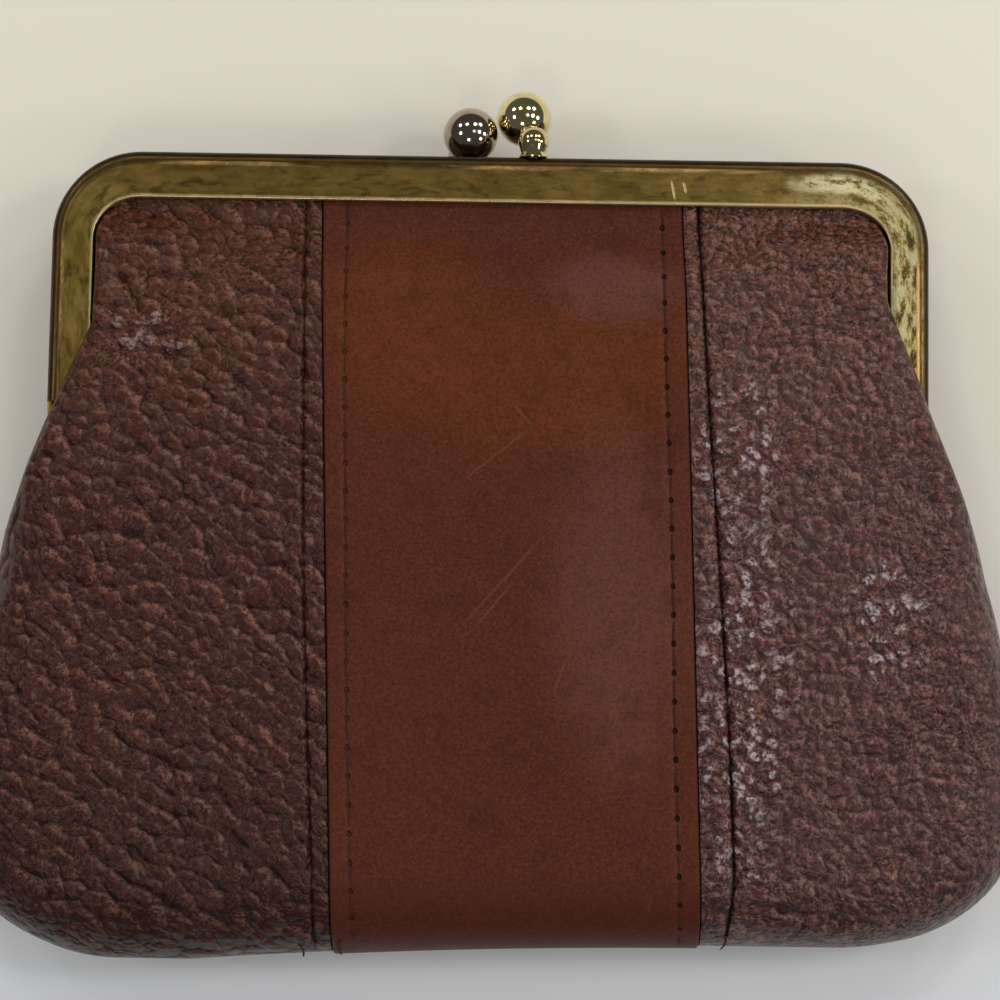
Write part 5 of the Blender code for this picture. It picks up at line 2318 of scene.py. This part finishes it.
@dataclass
class Purse:
    """All pieces of the purse, built in order and put on their bodies."""

    workshop: Workshop
    shape: PurseShape = field(default_factory=PurseShape)
    bend_rows: tuple[float, float] = (-2.4, -19.0)
    right_folds: tuple[Crease, ...] = (
        Crease((22.8, -49.4), (40.5, -50.2), 0.4, 0.55),
        Crease((30.0, 22.0), (40.0, 12.0), 0.22, 0.6),
        Crease((33.0, 14.0), (37.0, 4.0), 0.18, 0.5),
        Crease((44.0, 8.0), (47.5, -8.0), 0.2, 0.8),
    )
    left_folds: tuple[Crease, ...] = (
        Crease((-39.0, 18.0), (-44.5, 4.0), 0.2, 0.7),
        Crease((-30.0, 3.0), (-46.0, -3.0), 0.16, 0.7),
    )

    def settle(self, piece: Object, face: Face) -> None:
        """Fix a piece of the back to the bag; a piece of the front only gets its transform baked
        into its mesh.

        Args:
            piece: The piece.
            face: Which half it belongs to.
        """
        if face is Face.BACK:
            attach(piece, Body.BAG.value)
            return
        rows = (self.workshop.hinge + Vector((0.0, y * MM, 0.0)) for y in self.bend_rows)
        start, end = (tuple(row) for row in rows)
        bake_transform(piece)

    def build_leather(self) -> None:
        """Build the side panels, centre strips, stitches and thread ends."""
        folds = {Side.LEFT: self.left_folds, Side.RIGHT: self.right_folds}
        tree = StitchTree.grown()
        for face in Face:
            for side in Side:
                creases = folds[side] if face is Face.FRONT else ()
                sag = Sag(seed=11.0 * side.value + 5.0 * face.value, creases=creases)
                panel = SidePanel(self.shape, side, face, sag)
                self.settle(panel.build(self.workshop), face)
            strip = CentreStrip(self.shape, face, Sag(2.5 * face.value, slow=0.3, quick=0.05))
            self.settle(strip.build(self.workshop), face)
            self.settle(Stitching(strip).build(self.workshop, tree), face)
        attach(ThreadEnds(self.shape).build(self.workshop), Body.BAG.value)

    def build_lining(self) -> None:
        """Build the lining of both halves."""
        front = Lining(self.shape, Face.FRONT, ("front_lining_upper", "front_lining_lower"))
        back = Lining(self.shape, Face.BACK, ("back_lining",))
        self.settle(front.build(self.workshop), Face.FRONT)
        self.settle(back.build(self.workshop), Face.BACK)

    def build_brass(self) -> None:
        """Build both channels, the clasp and the hinge rivets."""
        bodies = {Face.FRONT: Body.FRONT_HALF, Face.BACK: Body.BAG}
        for face in Face:
            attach(FrameHalf(self.shape, face).build(self.workshop), bodies[face].value)
        clasps = [
            Clasp(self.shape, Face.FRONT, (4.5, 1.9), 1.7, (3.45, 5.3)),
            Clasp(self.shape, Face.BACK, (-3.4, 1.8), 1.5, (-2.4, 3.2)),
        ]
        for clasp in clasps:
            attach(clasp.build_post(self.workshop), bodies[clasp.face].value)
            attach(clasp.build_ball(self.workshop), bodies[clasp.face].value)
        for side in Side:
            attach(HingeRivet(self.shape, side).build(self.workshop), Body.BAG.value)

    def dress_packing(self, nodes: dict[str, Object]) -> None:
        """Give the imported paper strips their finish.

        Args:
            nodes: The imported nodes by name.
        """
        for face in Face:
            thing = nodes[title(face, "packing_strip")]
            for slot in thing.material_slots:
                slot.material = self.workshop.finishes.paper
            LOG.info("%s: dressed", thing.name)


# ---- studio


@dataclass(frozen=True)
class Lamp:
    """A soft square ceiling lamp that looks at the purse."""

    tilt: float
    bearing: float
    power: float
    size: float = 0.1
    reach: float = 0.6
    colour: tuple[float, float, float] = (1.0, 0.98, 0.94)

    def hang(self, name: str, target: Vector) -> None:
        """Hang the lamp by its angles and point it at a place.

        Args:
            name: Name of the lamp.
            target: The place.
        """
        tilt, bearing = math.radians(self.tilt), math.radians(self.bearing)
        level = Vector((math.cos(bearing), math.sin(bearing), 0.0)) * math.sin(tilt)
        lamp = bpy.data.lights.new(name, "AREA")
        lamp.energy = self.power
        lamp.size = self.size
        lamp.color = self.colour
        thing = bpy.data.objects.new(name, lamp)
        thing.location = target + (level + Vector((0.0, 0.0, math.cos(tilt)))) * self.reach
        thing.rotation_euler = (target - thing.location).to_track_quat("-Z", "Y").to_euler()
        bpy.context.scene.collection.objects.link(thing)


@dataclass(frozen=True)
class Studio:
    """Table, lamps and camera of the picture."""

    hinge: Vector
    finishes: Finishes
    table_size: float = 1.6
    table_rows: int = 9
    aim: tuple[float, float, float] = (1.47, -6.57, 4.75)
    distance: float = 300.0
    elevation: float = math.radians(84.0)
    roll: float = math.radians(0.93)
    lens: float = 100.9
    sensor: float = 36.0
    nearest: float = 0.01
    lamps: tuple[Lamp, ...] = (
        Lamp(17.0, 28.0, 0.08, 0.12),
        Lamp(38.0, 12.0, 0.42),
        Lamp(42.0, 65.0, 0.36),
        Lamp(42.0, 178.0, 0.3),
        Lamp(55.0, 140.0, 0.22),
        Lamp(56.0, 45.0, 0.28),
        Lamp(60.0, 3.0, 0.26),
        Lamp(40.0, 112.0, 0.22),
        Lamp(30.0, -105.0, 0.22),
        Lamp(50.0, -25.0, 0.24),
    )
    room_colour: Colour = (1.0, 0.985, 0.96, 1.0)
    room_light: float = 0.47
    mirrored_light: float = 0.09

    def build_table(self) -> None:
        """Lay the table under the purse."""
        half, rows = self.table_size / 2.0, self.table_rows
        steps = np.linspace(-half, half, rows)
        points = [(x, y, 0.0) for x in steps for y in steps]
        corners = [rows * i + j for i in range(rows - 1) for j in range(rows - 1)]
        faces = [(n, n + rows, n + rows + 1, n + 1) for n in corners]
        mesh = bpy.data.meshes.new("table_top")
        mesh.from_pydata(points, [], faces)
        mesh.materials.append(self.finishes.table)
        table = bpy.data.objects.new("table_top", mesh)
        bpy.context.scene.collection.objects.link(table)

    def build_lamps(self) -> None:
        """Hang the lamps and light the room evenly, less so in mirroring surfaces."""
        for number, lamp in enumerate(self.lamps, 1):
            lamp.hang(f"ceiling_lamp_{number}", self.hinge)
        world = bpy.data.worlds.new("room")
        world.use_nodes = True
        tree = world.node_tree
        path = add_node(tree, "ShaderNodeLightPath")
        shares = {0: path.outputs["Is Glossy Ray"], 2: self.room_light, 3: self.mirrored_light}
        strength = add_node(tree, "ShaderNodeMix", None, shares)
        back = tree.nodes["Background"].inputs
        feed(tree, back["Color"], self.room_colour)
        feed(tree, back["Strength"], strength.outputs[0])
        bpy.context.scene.world = world

    def build_camera(self) -> None:
        """Place the camera a little towards the lower edge, almost overhead."""
        target = self.hinge + Vector(self.aim) * MM
        out = Vector((0.0, -math.cos(self.elevation), math.sin(self.elevation)))
        right = Vector((1.0, 0.0, 0.0))
        turn = Matrix((right, out.cross(right), out)).transposed()
        turn = turn @ Matrix.Rotation(self.roll, 3, "Z")
        data = bpy.data.cameras.new("picture_camera")
        data.lens = self.lens
        data.sensor_width = self.sensor
        data.clip_start = self.nearest
        camera = bpy.data.objects.new("picture_camera", data)
        camera.matrix_world = Matrix.Translation(target + out * self.distance * MM) @ turn.to_4x4()
        bpy.context.scene.collection.objects.link(camera)
        bpy.context.scene.camera = camera
        bpy.context.scene.view_settings.view_transform = "Standard"


def main() -> None:
    """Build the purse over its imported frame, then the studio around it."""
    logging.basicConfig(level=logging.INFO, format="%(name)s %(message)s")
    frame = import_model()
    hinge = Vector(frame["joints"][0]["pos_m"])
    finishes = Finishes.mixed()
    purse = Purse(Workshop(hinge, finishes))
    purse.build_leather()
    purse.build_lining()
    purse.build_brass()
    purse.dress_packing(frame["nodes"])
    studio = Studio(hinge, finishes)
    studio.build_table()
    studio.build_lamps()
    studio.build_camera()


if __name__ == "__main__":
    main()
